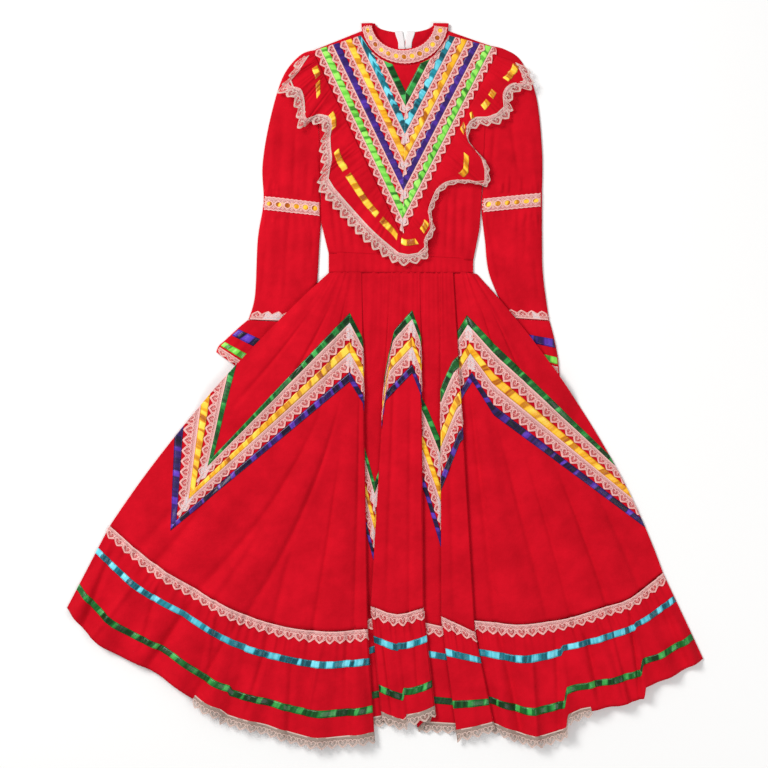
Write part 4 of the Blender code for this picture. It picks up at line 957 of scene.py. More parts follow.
def heart():
    """The outline of a heart in the lace, its point towards the scalloped edge."""
    t = np.linspace(0, 2 * pi, 21)
    x = LACE_PITCH / 2 + HEART_WIDE * np.sign(np.sin(t)) * abs(np.sin(t)) ** 2.3
    rise = 13 * np.cos(t) - 5 * np.cos(2 * t) - 2 * np.cos(3 * t) - np.cos(4 * t)
    return np.column_stack((x, HEART_MIDDLE - HEART_TALL * rise))


def ring(x, y, half_x, half_y, count=8):
    """A round or oval eyelet's outline."""
    t = np.linspace(0, 2 * pi, count + 1)
    return np.column_stack((x + half_x * np.cos(t), y + half_y * np.sin(t)))


def scallop(x):
    """The depth of the lace's edge at X: the hearts' points, and notches between them."""
    return LACE_WIDTH - SCALLOP_MARGIN - SCALLOP_DEEP * abs(2 * x / LACE_PITCH - 1) ** 1.2


def finish_flat(form, name):
    """A flat form's mesh, with its millimetres kept as the map that its materials read."""
    flat_map = form.loops.layers.uv.new("flat")
    for face in form.faces:
        for loop in face.loops:
            loop[flat_map].uv = (loop.vert.co.x * MM, loop.vert.co.y * MM)
    return mesh_of(form, name)


def heart_repeat(name, tucked=0.0):
    """One repeat of the heart lace, flat, in millimetres: X along it and Y from its edge.

    tucked is how much of its straight side is cut away, hidden under a ribbon.
    """
    form = bmesh.new()
    for corner, along, across in add_grid(form, 12, 4):
        x = along * LACE_PITCH
        corner.co = (x, across * scallop(x), 0.0)
    run = np.linspace(0, LACE_PITCH, 13)
    add_cord(form, np.column_stack((run, scallop(run) - 0.5)), EDGE_CORD)
    add_cord(form, heart(), HEART_CORD)
    for x, y in ((LACE_PITCH / 2, HEART_MIDDLE - 0.3), (0, LOW_RING_Y)):
        add_cord(form, ring(x, y, RING_RADIUS, RING_RADIUS), RING_CORD, RING_HEIGHT)
    if tucked:
        bmesh.ops.bisect_plane(form, geom=form.verts[:] + form.edges[:] + form.faces[:],
                               plane_co=(0, tucked, 0), plane_no=(0, -1, 0), clear_outer=True)
    band_y = tucked + BAND_CORD / 2
    add_cord(form, [(0, band_y), (LACE_PITCH, band_y)], BAND_CORD, FLAT_CORD)
    return finish_flat(form, name)


def repeat(motif, count, pitch):
    """A flat motif repeated along X."""
    holder = put_in_scene("motif", motif)
    array = holder.modifiers.new("repeat", "ARRAY")
    array.use_relative_offset, array.use_constant_offset = False, True
    array.constant_offset_displace = (pitch, 0, 0)
    array.count = count
    bpy.context.view_layer.update()
    shown = holder.evaluated_get(bpy.context.evaluated_depsgraph_get())
    mesh = bpy.data.meshes.new_from_object(shown)
    bpy.data.objects.remove(holder)
    return mesh


def lay(mesh, strip, lift=0.0, x_scale=1.0, y_scale=1.0, y_start=0.0, rise=0.0):
    """Lays a flat mesh on a strip: X along it, Y across it and Z off it, in millimetres.

    rise is how much higher its far side lies.
    """
    flat = points_of(mesh)
    y = (flat[:, 1] - y_start) * y_scale
    higher = rise * ease(y / strip.down[-1])
    places, _ = strip.read(flat[:, 0] * x_scale, y, lift + flat[:, 2] + higher)
    mesh.vertices.foreach_set("co", (places * MM).ravel())
    mesh.update()
    return mesh


heart_lace = heart_repeat("heart_lace")


def lace_mesh(strip, lift=1.1, motif=heart_lace, pitch=LACE_PITCH, width=LACE_WIDTH, y_start=0.0,
              rise=0.0, doubled=()):
    """Lace laid along a strip, its repeats eased to fit the strip's length.

    It lies double along the strip's mitres and at the places along it in doubled.
    """
    length = strip.at[-1]
    count = max(round(length / pitch), 1)
    mesh = lay(repeat(motif, count, LACE_PITCH), strip, lift, length / (count * LACE_PITCH),
               width / LACE_WIDTH, y_start, rise)
    middles, finish = np.empty(3 * len(mesh.polygons)), np.empty(len(mesh.polygons), dtype=int)
    mesh.polygons.foreach_get("center", middles)
    mesh.polygons.foreach_get("material_index", finish)
    middles = middles.reshape(-1, 3)[:, :2] / MM
    for top, bottom in [*strip.mitres, *(strip.read([at, at], [0, width])[0] for at in doubled)]:
        run = (bottom - top)[:2]
        past = np.clip((middles - top[:2]) @ run / (run @ run), -0.1, 1.1)
        off = np.linalg.norm(middles - top[:2] - past[:, None] * run, axis=1)
        finish[(off < DOUBLED_HALF) & (finish == 0)] = DOUBLED
    mesh.polygons.foreach_set("material_index", finish)
    form = bmesh.new()
    form.from_mesh(mesh)
    slivers = [face for face in form.faces if face.calc_area() < SLIVER]
    bmesh.ops.delete(form, geom=slivers, context="FACES")
    return mesh_of(form, "lace")


def lace(name, mesh, node=None, net=cotton_net, cord=cotton_cord):
    """Lace as a finished piece, which stands for a node or for the one it is named after."""
    mesh.name = name
    return piece(name, mesh, [net, cord, doubled_net], node or name.replace("heart_", ""))


for name, top, bottom in (("zigzag_upper_heart_lace", half_ribbon, 0.5 - half_gold),
                          ("zigzag_lower_heart_lace", 0.5 + half_gold, 1 - half_ribbon)):
    strip = zigzag_strip(top, bottom)
    zigzag_trims.append(lace(name, lace_mesh(
        strip, lift=1.2, pitch=19.5, width=strip.down[-1] + 0.4, rise=0.8)))

# The flounce: a deeper strip of the same cotton, gathered to the skirt's edge and left to wave.
# Heart lace covers its seam, two satin ribbons run round it and lace edges its hem.
FLOUNCE_START = 1.0025
flounce = front(stations_of(0.026), np.linspace(FLOUNCE_START, 1.95, 30))
flounce_cloth = cloth("flounce_front_cloth", flounce.places)
HEM_LACE_START, HEM_LACE_END = 2.7, LEAF_START["right"] + 3.1


def flounce_strip(top, bottom, start=0.0, end=LEAF_END["right"]):
    """A strip of the flounce between two depths, which stops a column short of its side."""
    stations = flounce.at[(flounce.at >= start) & (flounce.at < end)]
    return flounce.strip(stations[:, None], np.linspace(top, bottom, 4))


flounce_trims = [
    lace("seam_heart_lace", lace_mesh(flounce_strip(1.006, 1.11), lift=1.5, y_start=2.4)),
    ribbon("flounce_turquoise_satin", "flounce_turquoise_ribbon", flounce_strip(1.25, 1.313),
           "turquoise_satin"),
    ribbon("flounce_green_satin", "flounce_green_ribbon", flounce_strip(1.67, 1.735),
           "green_satin", GLINTS),
    lace("hem_heart_lace", lace_mesh(
        flounce_strip(1.905, 2.0, HEM_LACE_START, HEM_LACE_END), lift=1.2),
        net=shade_painted_net, cord=shade_painted_cord),
]

# The back of the skirt: two flared halves that meet where the zip ends, and a plain flounce round
# their hem. They lie on the board under the front, with low wrinkles.
CENTRE_X = 37.0
BACK_LEVEL = 0.45
HALF_SEAM = 0.3
BACK_DEPTHS = ((0.0, 1.0, 2.0), (209.0, -440.0, -628.0))
BACK_WAVES, BACK_WAVE, BACK_WAVES_GROWN = 26, 0.9, 0.5
# The halves of the back: their shares of its width, and the way each is moved off the middle
Half = namedtuple("Half", "side start end toward")
HALVES = (Half("_l", 0.0, 0.5, -1), Half("_r", 0.5, 1.0, 1))
WHOLE = Half("", 0.0, 1.0, 0)


def over(half, columns, downs):
    """The shares across and the places down of a whole grid of columns and rows."""
    return np.meshgrid(np.linspace(half.start, half.end, columns), downs, indexing="ij")


Fold = namedtuple("Fold", "start_x start_y end_x end_y width height")
BACK_FOLDS = (
    (-70, 180, -330, -330, 15, 1.1), (-40, 150, -190, -400, 12, 0.9), (-88, 60, -150, -210, 9, 0.8),
    (0, 120, -60, -430, 17, 1.2), (20, 190, 15, -120, 9, 0.8), (60, 150, 95, -400, 14, 1.1),
    (100, 190, 210, -150, 10, 0.9), (120, 60, 260, -420, 16, 1.2), (150, 150, 400, -330, 12, 1.0),
    (210, -60, 330, -260, 8, 0.7),
)


def fold_height(x, y, folds):
    """The height that soft creases, given by the lines they follow, add at X and Y."""
    height = np.zeros(np.shape(x))
    for row in map(Fold._make, folds):
        run_x, run_y = row.end_x - row.start_x, row.end_y - row.start_y
        length = sqrt(run_x ** 2 + run_y ** 2)
        along = ((x - row.start_x) * run_x + (y - row.start_y) * run_y) / length ** 2
        away = ((x - row.start_x) * run_y - (y - row.start_y) * run_x) / length
        fade = ease((along + 0.12) / 0.35) * ease((1.12 - along) / 0.35)
        height = height + row.height * fade * bell(away / row.width)
    return height


def laid_back(name, half, columns, downs):
    """A piece of the skirt's back, laid on the board and over the cuffs."""
    share, down = over(half, columns, downs)
    side = np.where((share < 0.5)[..., None], leaf_place("left", 0, down),
                    leaf_place("right", SPAN["right"], down))
    inward = 1 - abs(1 - 2 * share)
    middle_x = CENTRE_X * np.minimum(1, 2 - down)
    x = mix(side[..., 0], middle_x, inward)
    y = side[..., 1] + (np.interp(down, *BACK_DEPTHS) - side[..., 1]) * np.sin(inward * pi / 2)
    x = x + half.toward * HALF_SEAM * (share == 0.5)
    grown = BACK_WAVE * ease((down - 1) / BACK_WAVES_GROWN)
    waves = grown * (1 - np.cos(2 * pi * BACK_WAVES * share)) / 2
    z = BACK_LEVEL + hump(x, y) + fold_height(x, y, BACK_FOLDS) + waves
    return cloth(name + half.side, np.stack((x, y, z), axis=-1))


skirt_backs = [laid_back("skirt_back_cloth", half, 50, np.linspace(0, SKIRT_BOTTOM, 60))
               for half in HALVES]
flounce_back = laid_back("flounce_back_cloth", WHOLE, 260, np.linspace(FLOUNCE_START, 1.93, 14))

# The waistband: a plain straight band of the cotton, one and a half inches wide, that the skirt's
# gathers and the bodice are sewn into. Its front rises to meet the skirt and its ends dip.
WAIST_LEFT, WAIST_RIGHT = -104.0, 163.0
WAIST_BOTTOM = 210.5
BAND_TOP_LEFT, BAND_TOP_RIGHT = 246.0, 233.0
BODICE_LEVEL = 5.6
BAND_LAP, BAND_DIP = 3.5, 1.0
BAND_ENDS, BAND_COLUMNS, DIP_START = 0.09, 160, 0.86
PUCKERS, FRONT_PUCKER, BACK_PUCKER = 21, 1.0, 0.8


def waistband(name, half, top_level, bottom_level, end_level, pucker, dip=0.0):
    """The waistband or a half of it, at the levels of its edges; dip lowers its seam below."""
    share, down = over(half, int(BAND_COLUMNS * (half.end - half.start)) + 1, np.linspace(0, 1, 10))
    x = mix(WAIST_LEFT, WAIST_RIGHT, share) + half.toward * HALF_SEAM * (share == 0.5)
    top = mix(BAND_TOP_LEFT, BAND_TOP_RIGHT, share)
    y = top + (WAIST_BOTTOM - BAND_LAP - top) * down
    inward = ease(np.minimum(share, 1 - share) / BAND_ENDS)
    level = mix(top_level, bottom_level, ease(down))
    wrinkle = np.sin(2 * pi * PUCKERS * share + 2.2 * np.sin(9 * share))
    seam = mix(0.35, 1, down ** 2)
    dipped = dip * ease((down - DIP_START) / (1 - DIP_START))
    level = level + pucker * (0.5 + wrinkle / 2) * seam - dipped
    z = mix(end_level, level, inward)
    return cloth(name + half.side, np.stack((x, y, z), axis=-1))


waist_front = waistband("waistband_front_cloth", WHOLE, BODICE_LEVEL + 0.7, WAIST_LEVEL + 0.8,
                        EDGE_LEVEL, FRONT_PUCKER, BAND_DIP)
waist_backs = [waistband("waistband_back_cloth", half, BACK_LEVEL, BACK_LEVEL, BACK_LEVEL,
                         BACK_PUCKER) for half in HALVES]

# The bodice: a front cut in one and a back cut in two for the zip, joined at the shoulders and
# sides. Soft creases run down from the ruffle into the waist.
NeckLine = namedtuple("NeckLine", "middle wide deep")
NECK_X, NECK_Y = 37.0, 668.0
FRONT_NECK, BACK_NECK = NeckLine(NECK_X, 81.0, 77.0), NeckLine(NECK_X, 81.0, 51.0)
NECK_START = pi / 12
SHOULDER_SHARE = 0.26
UNDERARM_DOWN = 0.64
BODICE_LAP = 3.0
SHOULDER_LEVEL, SHOULDER_DEEP = 3.5, 0.1
BODICE_SIDE = 0.06
LEFT_TIP, RIGHT_TIP = (-128, 620), (194, 627)
SIDE_DOWNS = (0.00, 0.35, 0.64, 0.85, 1.00)
LEFT_SIDE = (-128, -122, -119, -118, WAIST_LEFT)
RIGHT_SIDE = (194, 186, 180, 175, WAIST_RIGHT)
BODICE_FOLDS = (
    (99, 372, 93, 246, 5, -2.4), (117, 350, 113, 240, 4, -2.0), (133, 366, 131, 236, 5, -2.6),
    (150, 340, 146, 240, 5, -1.8), (76, 300, 72, 240, 4, -1.8), (52, 262, 50, 238, 5, -1.6),
    (162, 420, 158, 300, 6, 1.2), (-98, 345, -88, 250, 5, -2.2), (-82, 322, -74, 246, 5, -2.0),
    (-62, 296, -56, 250, 5, -1.7), (-38, 276, -34, 250, 5, -1.6), (-12, 262, -10, 244, 5, -1.4),
    (20, 255, 20, 240, 5, -1.4), (-110, 420, -108, 330, 6, 1.2),
)


def neck_curve(angle, line):
    """A place on a line round the neck."""
    return line.middle + line.wide * np.cos(angle), NECK_Y - line.deep * np.sin(angle)


def bodice_place(share, down, line):
    """The X and Y of places on the bodice, across and down from its neck's line."""
    turned = (share - SHOULDER_SHARE) / (1 - 2 * SHOULDER_SHARE)
    neck = neck_curve(pi - NECK_START - turned * (pi - 2 * NECK_START), line)
    knots = zip(LEFT_TIP, neck_curve(pi - NECK_START, line), neck_curve(NECK_START, line),
                RIGHT_TIP)
    stations = (0, SHOULDER_SHARE, 1 - SHOULDER_SHARE, 1)
    at_neck = (share > SHOULDER_SHARE) & (share < 1 - SHOULDER_SHARE)
    top_x, top_y = (np.where(at_neck, curved, np.interp(share, stations, straight))
                    for curved, straight in zip(neck, knots))
    bottom_x = mix(WAIST_LEFT, WAIST_RIGHT, share)
    bottom_y = mix(BAND_TOP_LEFT, BAND_TOP_RIGHT, share) - BODICE_LAP
    x = mix(top_x, bottom_x, down)
    for side, weight in ((LEFT_SIDE, 1 - share), (RIGHT_SIDE, share)):
        straight = mix(side[0], side[-1], down)
        x = x + (np.interp(down, SIDE_DOWNS, side) - straight) * weight ** 3
    return x, mix(top_y, bottom_y, down)


def armhole_level(down):
    """The height of the bodice's side edge: high round the armhole, low down the side seam."""
    return BODICE_LEVEL - (BODICE_LEVEL - EDGE_LEVEL) * ease((down / UNDERARM_DOWN - 0.72) / 0.28)


def bodice_height(x, y):
    """The height of the bodice's front away from its edges, under the yoke and the ruffle too."""
    slow = 0.35 * np.sin(x / 23 + 0.7) * np.sin(y / 31)
    return BODICE_LEVEL + slow + fold_height(x, y, BODICE_FOLDS)


bodice_downs = np.linspace(0, 1, 80)
share, down = over(WHOLE, 131, bodice_downs)
x, y = bodice_place(share, down, FRONT_NECK)
inward = ease(np.minimum(share, 1 - share) / BODICE_SIDE)
z = armhole_level(down) * (1 - inward) + bodice_height(x, y) * inward
bodice_cloth = cloth("bodice_front_cloth", np.stack((x, y, z), axis=-1))


def bodice_back(half):
    """Half of the bodice's back, flat on the board but for the rise to its shoulder."""
    share, down = over(half, 60, bodice_downs)
    x, y = bodice_place(share, down, BACK_NECK)
    top_x, _ = bodice_place(share, 0 * down, BACK_NECK)
    rise = ease(1 - down / SHOULDER_DEEP) * ease((abs(top_x - NECK_X) - 50) / 28)
    wrinkle = abs(fold_height(2 * NECK_X - x, y, BODICE_FOLDS)) * 0.35
    z = mix(BACK_LEVEL, SHOULDER_LEVEL, rise) + wrinkle * ease(down / 0.3)
    x = x + half.toward * HALF_SEAM * (share == 0.5)
    return cloth("bodice_back_cloth" + half.side, np.stack((x, y, z), axis=-1))


bodice_backs = [bodice_back(half) for half in HALVES]

# The collar: a standing band of the cotton, pressed flat, its front over its two back halves.
# The back halves open in a small V over the zip.
FRONT_COLLAR_TOP, BACK_COLLAR_TOP = NeckLine(33.0, 56.0, 48.0), NeckLine(36.0, 54.0, 16.0)
COLLAR_LAP, COLLAR_STEP = 0.5, 0.035
COLLAR_TOP_LEVEL = 8.4
OPENING_LOW, OPENING_HIGH, OPENING_HALF, OPENING_REACH = 633.0, 654.0, 9.0, 26


def collar(name, half, top, neck):
    """The collar or a half of it, from its top edge down to the neck's line."""
    seam = NeckLine(neck.middle, neck.wide - COLLAR_LAP, neck.deep - COLLAR_LAP)
    start, end = pi * (1 - half.start), pi * (1 - half.end)
    count, downs = int((start - end) / COLLAR_STEP), np.linspace(0, 1, 13)
    angle, down = np.meshgrid(np.linspace(start, end, count + 1), downs, indexing="ij")
    x, y = (a * (1 - down) + b * down
            for a, b in zip(neck_curve(angle, top), neck_curve(angle, seam)))
    if half.toward:
        z = BACK_LEVEL + (SHOULDER_LEVEL - BACK_LEVEL) * ease((abs(np.cos(angle)) - 0.72) / 0.28)
        open_here = np.clip((y - OPENING_LOW) / (OPENING_HIGH - OPENING_LOW), 0, 1)
        near = np.maximum(1 - abs(x - NECK_X) / OPENING_REACH, 0)
        x = x + half.toward * (HALF_SEAM + OPENING_HALF * open_here) * near
        z = z + 0.3 * (1 + np.sin(17 * angle)) * (1 - down)
    else:
        wrinkle = 0.45 * np.sin(14 * angle + 2 * np.sin(5 * angle)) * (0.4 + 0.6 * down)
        z = BODICE_LEVEL + (COLLAR_TOP_LEVEL - BODICE_LEVEL) * (1 - down) ** 0.7 + wrinkle
    surface = Surface(range(count + 1), downs, np.stack((x, y, z), axis=-1))
    return surface, cloth(name + half.side, surface.places)


collar_surface, collar_cloth = collar("collar_front_cloth", WHOLE, FRONT_COLLAR_TOP, FRONT_NECK)
collar_backs = [collar("collar_back_cloth", half, BACK_COLLAR_TOP, BACK_NECK)[1]
                for half in HALVES]

# Beading lace: a cotton lace with round holes along its middle, small roses above and below them
# and a wavy cord at each edge. A gold satin ribbon runs behind the holes.
BEADING_PITCH, BEADING_WIDTH = 17.4, 24.0
HOLE_X, HOLE_Y = 6.0, 5.1
HOLE_CORD, BEADING_CORD, BEADING_EDGE = 1.9, 1.7, 1.1
ROSE_RADIUS, ROSE_CORD, BAR_RADIUS, BAR_CORD = 1.6, 1.0, 2.0, 1.1
BEHIND_TOP, BEHIND_BOTTOM = 0.26, 0.74
BEADED = Shine((7, 20), (5, 18), (0.6, 1.0), (0.0, 0.3), 0.3, 0.5)


def beading_repeat():
    """One repeat of the beading lace, flat, in millimetres."""
    form = bmesh.new()
    for corner, along, across in add_grid(form, 12, 14):
        x = along * BEADING_PITCH
        wave = 0.8 * np.cos(4 * pi * x / BEADING_PITCH)
        y = BEADING_WIDTH / 2 + (across - 0.5) * (BEADING_WIDTH - 1.6 + wave)
        off_x, off_y = (x - BEADING_PITCH / 2) / HOLE_X, (y - BEADING_WIDTH / 2) / HOLE_Y
        away = sqrt(off_x ** 2 + off_y ** 2)
        if 0.72 < away < 1.28:
            x = BEADING_PITCH / 2 + HOLE_X * off_x / away
            y = BEADING_WIDTH / 2 + HOLE_Y * off_y / away
        corner.co = (x, y, 0)
    middle = Vector((BEADING_PITCH / 2, BEADING_WIDTH / 2, 0))
    flatten = Vector((1 / HOLE_X, 1 / HOLE_Y, 0))
    inside = [face for face in form.faces
              if ((face.calc_center_median() - middle) * flatten).length < 0.97]
    bmesh.ops.delete(form, geom=inside, context="FACES")
    add_cord(form, ring(middle.x, middle.y, HOLE_X + 0.3, HOLE_Y + 0.3, 16), HOLE_CORD)
    run = np.linspace(0, BEADING_PITCH, 13)
    wave = 0.45 * np.cos(4 * pi * run / BEADING_PITCH)
    for edge in (BEADING_EDGE - wave, BEADING_WIDTH - BEADING_EDGE + wave):
        add_cord(form, np.column_stack((run, edge)), BEADING_CORD)
    for x, y in ((0, 5.6), (0, 18.4), (BEADING_PITCH / 2, 4.2), (BEADING_PITCH / 2, 19.8)):
        add_cord(form, ring(x, y, ROSE_RADIUS, ROSE_RADIUS), ROSE_CORD, FLAT_CORD)
    add_cord(form, ring(0, BEADING_WIDTH / 2, BAR_RADIUS, BAR_RADIUS), BAR_CORD, FLAT_CORD)
    return finish_flat(form, "beading_lace")


beading_lace = beading_repeat()


def beading(name, node, ribbon_node, surface, start, end, top, bottom, holes):
    """Beading lace and its ribbon, laid between two columns and two rows of a surface."""
    at = np.linspace(start, end, 90)[:, None]
    strip = surface.strip(at, np.linspace(top, bottom, 5))
    behind = surface.strip(at, np.linspace(mix(top, bottom, BEHIND_TOP),
                                           mix(top, bottom, BEHIND_BOTTOM), 5))
    mesh = lay(repeat(beading_lace, holes, BEADING_PITCH), strip, lift=1.9,
               x_scale=strip.at[-1] / (holes * BEADING_PITCH),
               y_scale=strip.down[-1] / BEADING_WIDTH)
    return [ribbon(ribbon_node + "_satin", ribbon_node, behind, "gold_satin", BEADED, lift=0.8),
            lace(name, mesh, node)]


collar_trims = beading("collar_beading", "collar_beading_lace", "collar_gold_ribbon",
                       collar_surface, 3, len(collar_surface.at) - 4, 0.08, 0.92, 13)

# The back zip: two woven cotton tapes with a coil of nylon teeth between them, sewn inside the back
# from the collar to below the waist. Its open top shows inside the neck.
ZIP_TOP, ZIP_SPREAD, ZIP_BOTTOM = 654.0, 630.0, 95.0
TAPE_INNER, TAPE_HALF, TAPE_TOP_OUTER, TAPE_TOP_INNER = 0.6, 12.4, 18.6, 4.2
TAPE_LEVEL, TAPE_THICK = 1.7, 0.4
TAPE_RIB = 1.4 * MM
TOOTH_PITCH, TOOTH_WIDE, TOOTH_TALL, TOOTH_RISE = 2.2, 3.4, 1.5, 0.7

zip_tape, tree, shader = new_material("off_white_zip_tape", Roughness=0.8, Sheen_Weight=0.1)
place = add_node(tree, "TexCoord").outputs["Object"]
ribs = add_node(tree, "TexWave", {"Vector": place, "Scale": band_scale(TAPE_RIB),
                                  "Distortion": 0.4}, bands_direction="DIAGONAL")
colour = add_node(tree, "Mix", {"Factor": ribs, 6: linear("#CFC6C6"), 7: linear("#F3EDEC")},
                  data_type="RGBA")
bump = add_node(tree, "Bump", {"Strength": 0.4, "Distance": 0.2 * MM, "Height": ribs})
feed(tree, shader, {"Base Color": colour, "Normal": bump})
nylon_coil, _, _ = new_material("off_white_nylon_coil", Base_Color=linear("#E6E0DC"),
                                Roughness=0.35)

zip_form = bmesh.new()
for side in (-1, 1):
    for corner, across, down in add_grid(zip_form, 8, 150):
        y = mix(ZIP_BOTTOM, ZIP_TOP, 1 - down)
        spread = np.clip((y - ZIP_SPREAD) / (ZIP_TOP - ZIP_SPREAD), 0, 1)
        inner = mix(TAPE_INNER, TAPE_TOP_INNER, spread)
        outer = mix(TAPE_HALF, TAPE_TOP_OUTER, ease(spread))
        off_middle = mix(inner, outer, 0.5 + side * (across - 0.5))
        corner.co = (NECK_X + side * off_middle, y, TAPE_LEVEL)
tape_faces = len(zip_form.faces)
for k in range(int((ZIP_SPREAD - ZIP_BOTTOM - 8) / TOOTH_PITCH)):
    tooth = bmesh.ops.create_circle(zip_form, cap_ends=True, segments=8, radius=0.5)["verts"]
    y = ZIP_BOTTOM + 6 + k * TOOTH_PITCH
    for corner in tooth:
        corner.co = (NECK_X + corner.co.x * TOOTH_WIDE, y + corner.co.y * TOOTH_TALL,
                     TAPE_LEVEL + TOOTH_RISE)
zip_form.faces.ensure_lookup_table()
for face in zip_form.faces[tape_faces:]:
    face.material_index = 1
bmesh.ops.scale(zip_form, vec=(MM, MM, MM), verts=zip_form.verts)
bmesh.ops.recalc_face_normals(zip_form, faces=zip_form.faces)
for face in zip_form.faces:
    if face.normal.z < 0:
        face.normal_flip()
piece("back_zip_tapes", mesh_of(zip_form, "back_zip_tapes"), [zip_tape, nylon_coil], "back_zip",
      TAPE_THICK)

# The yoke's chevrons: rows of satin ribbon and heart lace, mitred at their points. Each row of lace
# is tucked under the ribbon inside it, and its scallops lie over the next ribbon.
Chevron = namedtuple("Chevron", "name node colour shine point_x point_y lace")
CHEVRONS = (
    Chevron("yoke_green_satin", "yoke_green_ribbon", "green_satin", BLOCKS, 38.0, 528,
            "yoke_lace_1"),
    Chevron("yoke_turquoise_satin", "yoke_turquoise_ribbon", "turquoise_satin", BLOCKS, 36.6, 476,
            "yoke_lace_2"),
    Chevron("yoke_gold_satin", "yoke_yellow_ribbon", "gold_satin", PAINTED_FOLD_SHADE, 35.2, 424,
            "yoke_lace_3"),
    Chevron("yoke_purple_satin", "yoke_purple_ribbon", "purple_satin", EVEN, 33.8, 372,
            "yoke_lace_4"),
    Chevron("yoke_lime_satin", "yoke_lime_ribbon", "lime_satin", SPARKS, 32.4, 320,
            "yoke_edge_lace"),
)
YOKE_SLOPES = {-1: 0.482, 1: 0.52}
YOKE_MARGIN, ARM_STEP, ARM_COLUMNS = 1.5, 0.5, 140
ARMHOLE_X = {-1: -143.0, 1: 206.0}
YOKE_LACE_SHOWN, YOKE_LACE_TUCK, YOKE_LACE_PITCH = 14.5, 0.4, 19.0
YOKE_LACE_CUT = LACE_WIDTH - YOKE_LACE_SHOWN


def vertical_span(width, side):
    """The height of a strip where it is cut straight down, across an arm of the yoke."""
    slope = YOKE_SLOPES[side]
    return width * sqrt(1 + slope ** 2) / slope


def arm_end(point_x, edge_y, side):
    """Where an edge of an arm, which passes its point's line at edge_y, has to stop."""
    tip = LEFT_TIP if side < 0 else RIGHT_TIP
    neck = neck_curve(NECK_START if side > 0 else pi - NECK_START, FRONT_NECK)
    rise = 0.0
    while True:
        x, y = point_x + side * rise * YOKE_SLOPES[side], edge_y + rise
        shoulder = tip[1] + (neck[1] - tip[1]) * (x - tip[0]) / (neck[0] - tip[0])
        across = (x - NECK_X) / (FRONT_NECK.wide + YOKE_MARGIN)
        up = (NECK_Y - y) / (FRONT_NECK.deep + YOKE_MARGIN)
        outside = side * (x - ARMHOLE_X[side]) > 0
        if y > shoulder - YOKE_MARGIN or across ** 2 + up ** 2 < 1 or outside:
            return x - side * ARM_STEP * YOKE_SLOPES[side], y - ARM_STEP
        rise += ARM_STEP


def chevron_strip(point_x, point_y, inner, outer, rows=5):
    """A mitred strip of the yoke between two distances outwards from a ribbon's middle."""
    arm = np.linspace(0, 1, ARM_COLUMNS)
    at = np.concatenate((arm, np.linspace(1, 2, ARM_COLUMNS)[1:]))
    lines = []
    for distance in np.linspace(inner, outer, rows):
        spans = {side: vertical_span(distance, side) for side in (-1, 1)}
        left, right = (arm_end(point_x, point_y - spans[side], side) for side in (-1, 1))
        knots = zip(left, (point_x, point_y - (spans[-1] + spans[1]) / 2), right)
        lines.append(np.column_stack([np.interp(at, (0, 1, 2), column) for column in knots]))
    flat = np.stack(lines, axis=1)
    places = np.concatenate((flat, bodice_height(flat[..., 0], flat[..., 1])[..., None]), axis=-1)
    along = run_along(places)
    strip = Surface(along, np.linspace(0, outer - inner, rows), places)
    return squared(strip, [0.0, along[ARM_COLUMNS - 1], along[-1]])


yoke_lace = heart_repeat("yoke_lace", tucked=YOKE_LACE_CUT)
yoke_trims = []
for row in CHEVRONS:
    yoke_trims.append(ribbon(row.name, row.node, chevron_strip(
        row.point_x, row.point_y, -RIBBON / 2, RIBBON / 2), row.colour, row.shine))
    start = RIBBON / 2 - YOKE_LACE_TUCK
    yoke_trims.append(lace(row.lace + "_hearts", lace_mesh(
        chevron_strip(row.point_x, row.point_y, start, start + YOKE_LACE_SHOWN), lift=1.4,
        motif=yoke_lace, pitch=YOKE_LACE_PITCH, y_start=YOKE_LACE_CUT, rise=1.1), row.lace))

# The bertha: a deep ruffle of the cotton gathered to the yoke's edge. A gold ribbon runs round it
# and heart lace edges it; its edge waves, and turns over on itself at the shoulders.
Ruffle = namedtuple("Ruffle", "seam_y edge_x edge_y height")
RUFFLE = {
    -1: (
        (612, -159, 600, 12), (602, -172, 572, 18), (592, -194, 543, 13), (580, -170, 530, 20),
        (568, -161, 505, 15), (554, -156, 474, 18), (529, -137, 485, 12), (507, -112, 474, 16),
        (482, -117, 440, 11), (455, -113, 402, 17), (427, -121, 369, 11), (397, -100, 339, 16),
        (362, -68, 303, 11), (330, -35, 268, 17), (302, 0, 240, 13),
    ),
    0: (
        (278, 33, 224, 16),
    ),
    1: (
        (292, 76, 236, 13), (304, 78, 262, 18), (320, 91, 286, 13), (338, 85, 314, 15), (358, 93, 338, 11),
        (376, 104, 358, 15), (397, 126, 371, 11), (417, 159, 372, 17), (437, 189, 368, 12),
        (457, 188, 405, 18), (477, 163, 436, 11), (497, 152, 461, 16), (515, 171, 479, 11),
        (534, 207, 483, 17), (552, 232, 503, 12), (568, 230, 526, 19), (582, 247, 545, 13),
        (595, 271, 549, 16), (608, 259, 588, 10),
    ),
}
RUFFLE_SEAM_X, RUFFLE_SEAM_Y, RUFFLE_SEAM_LEVEL = 31.7, 274.0, 7.25
RUFFLE_GATHERS, RUFFLE_GATHER = 3.1, 1.1
SHORTEST_REACH = 25
LACE_STATIONS, LACE_DEPTHS = (0, 14, 17, 24, 26, 34), (21, 21, 9, 9, 14, 20)
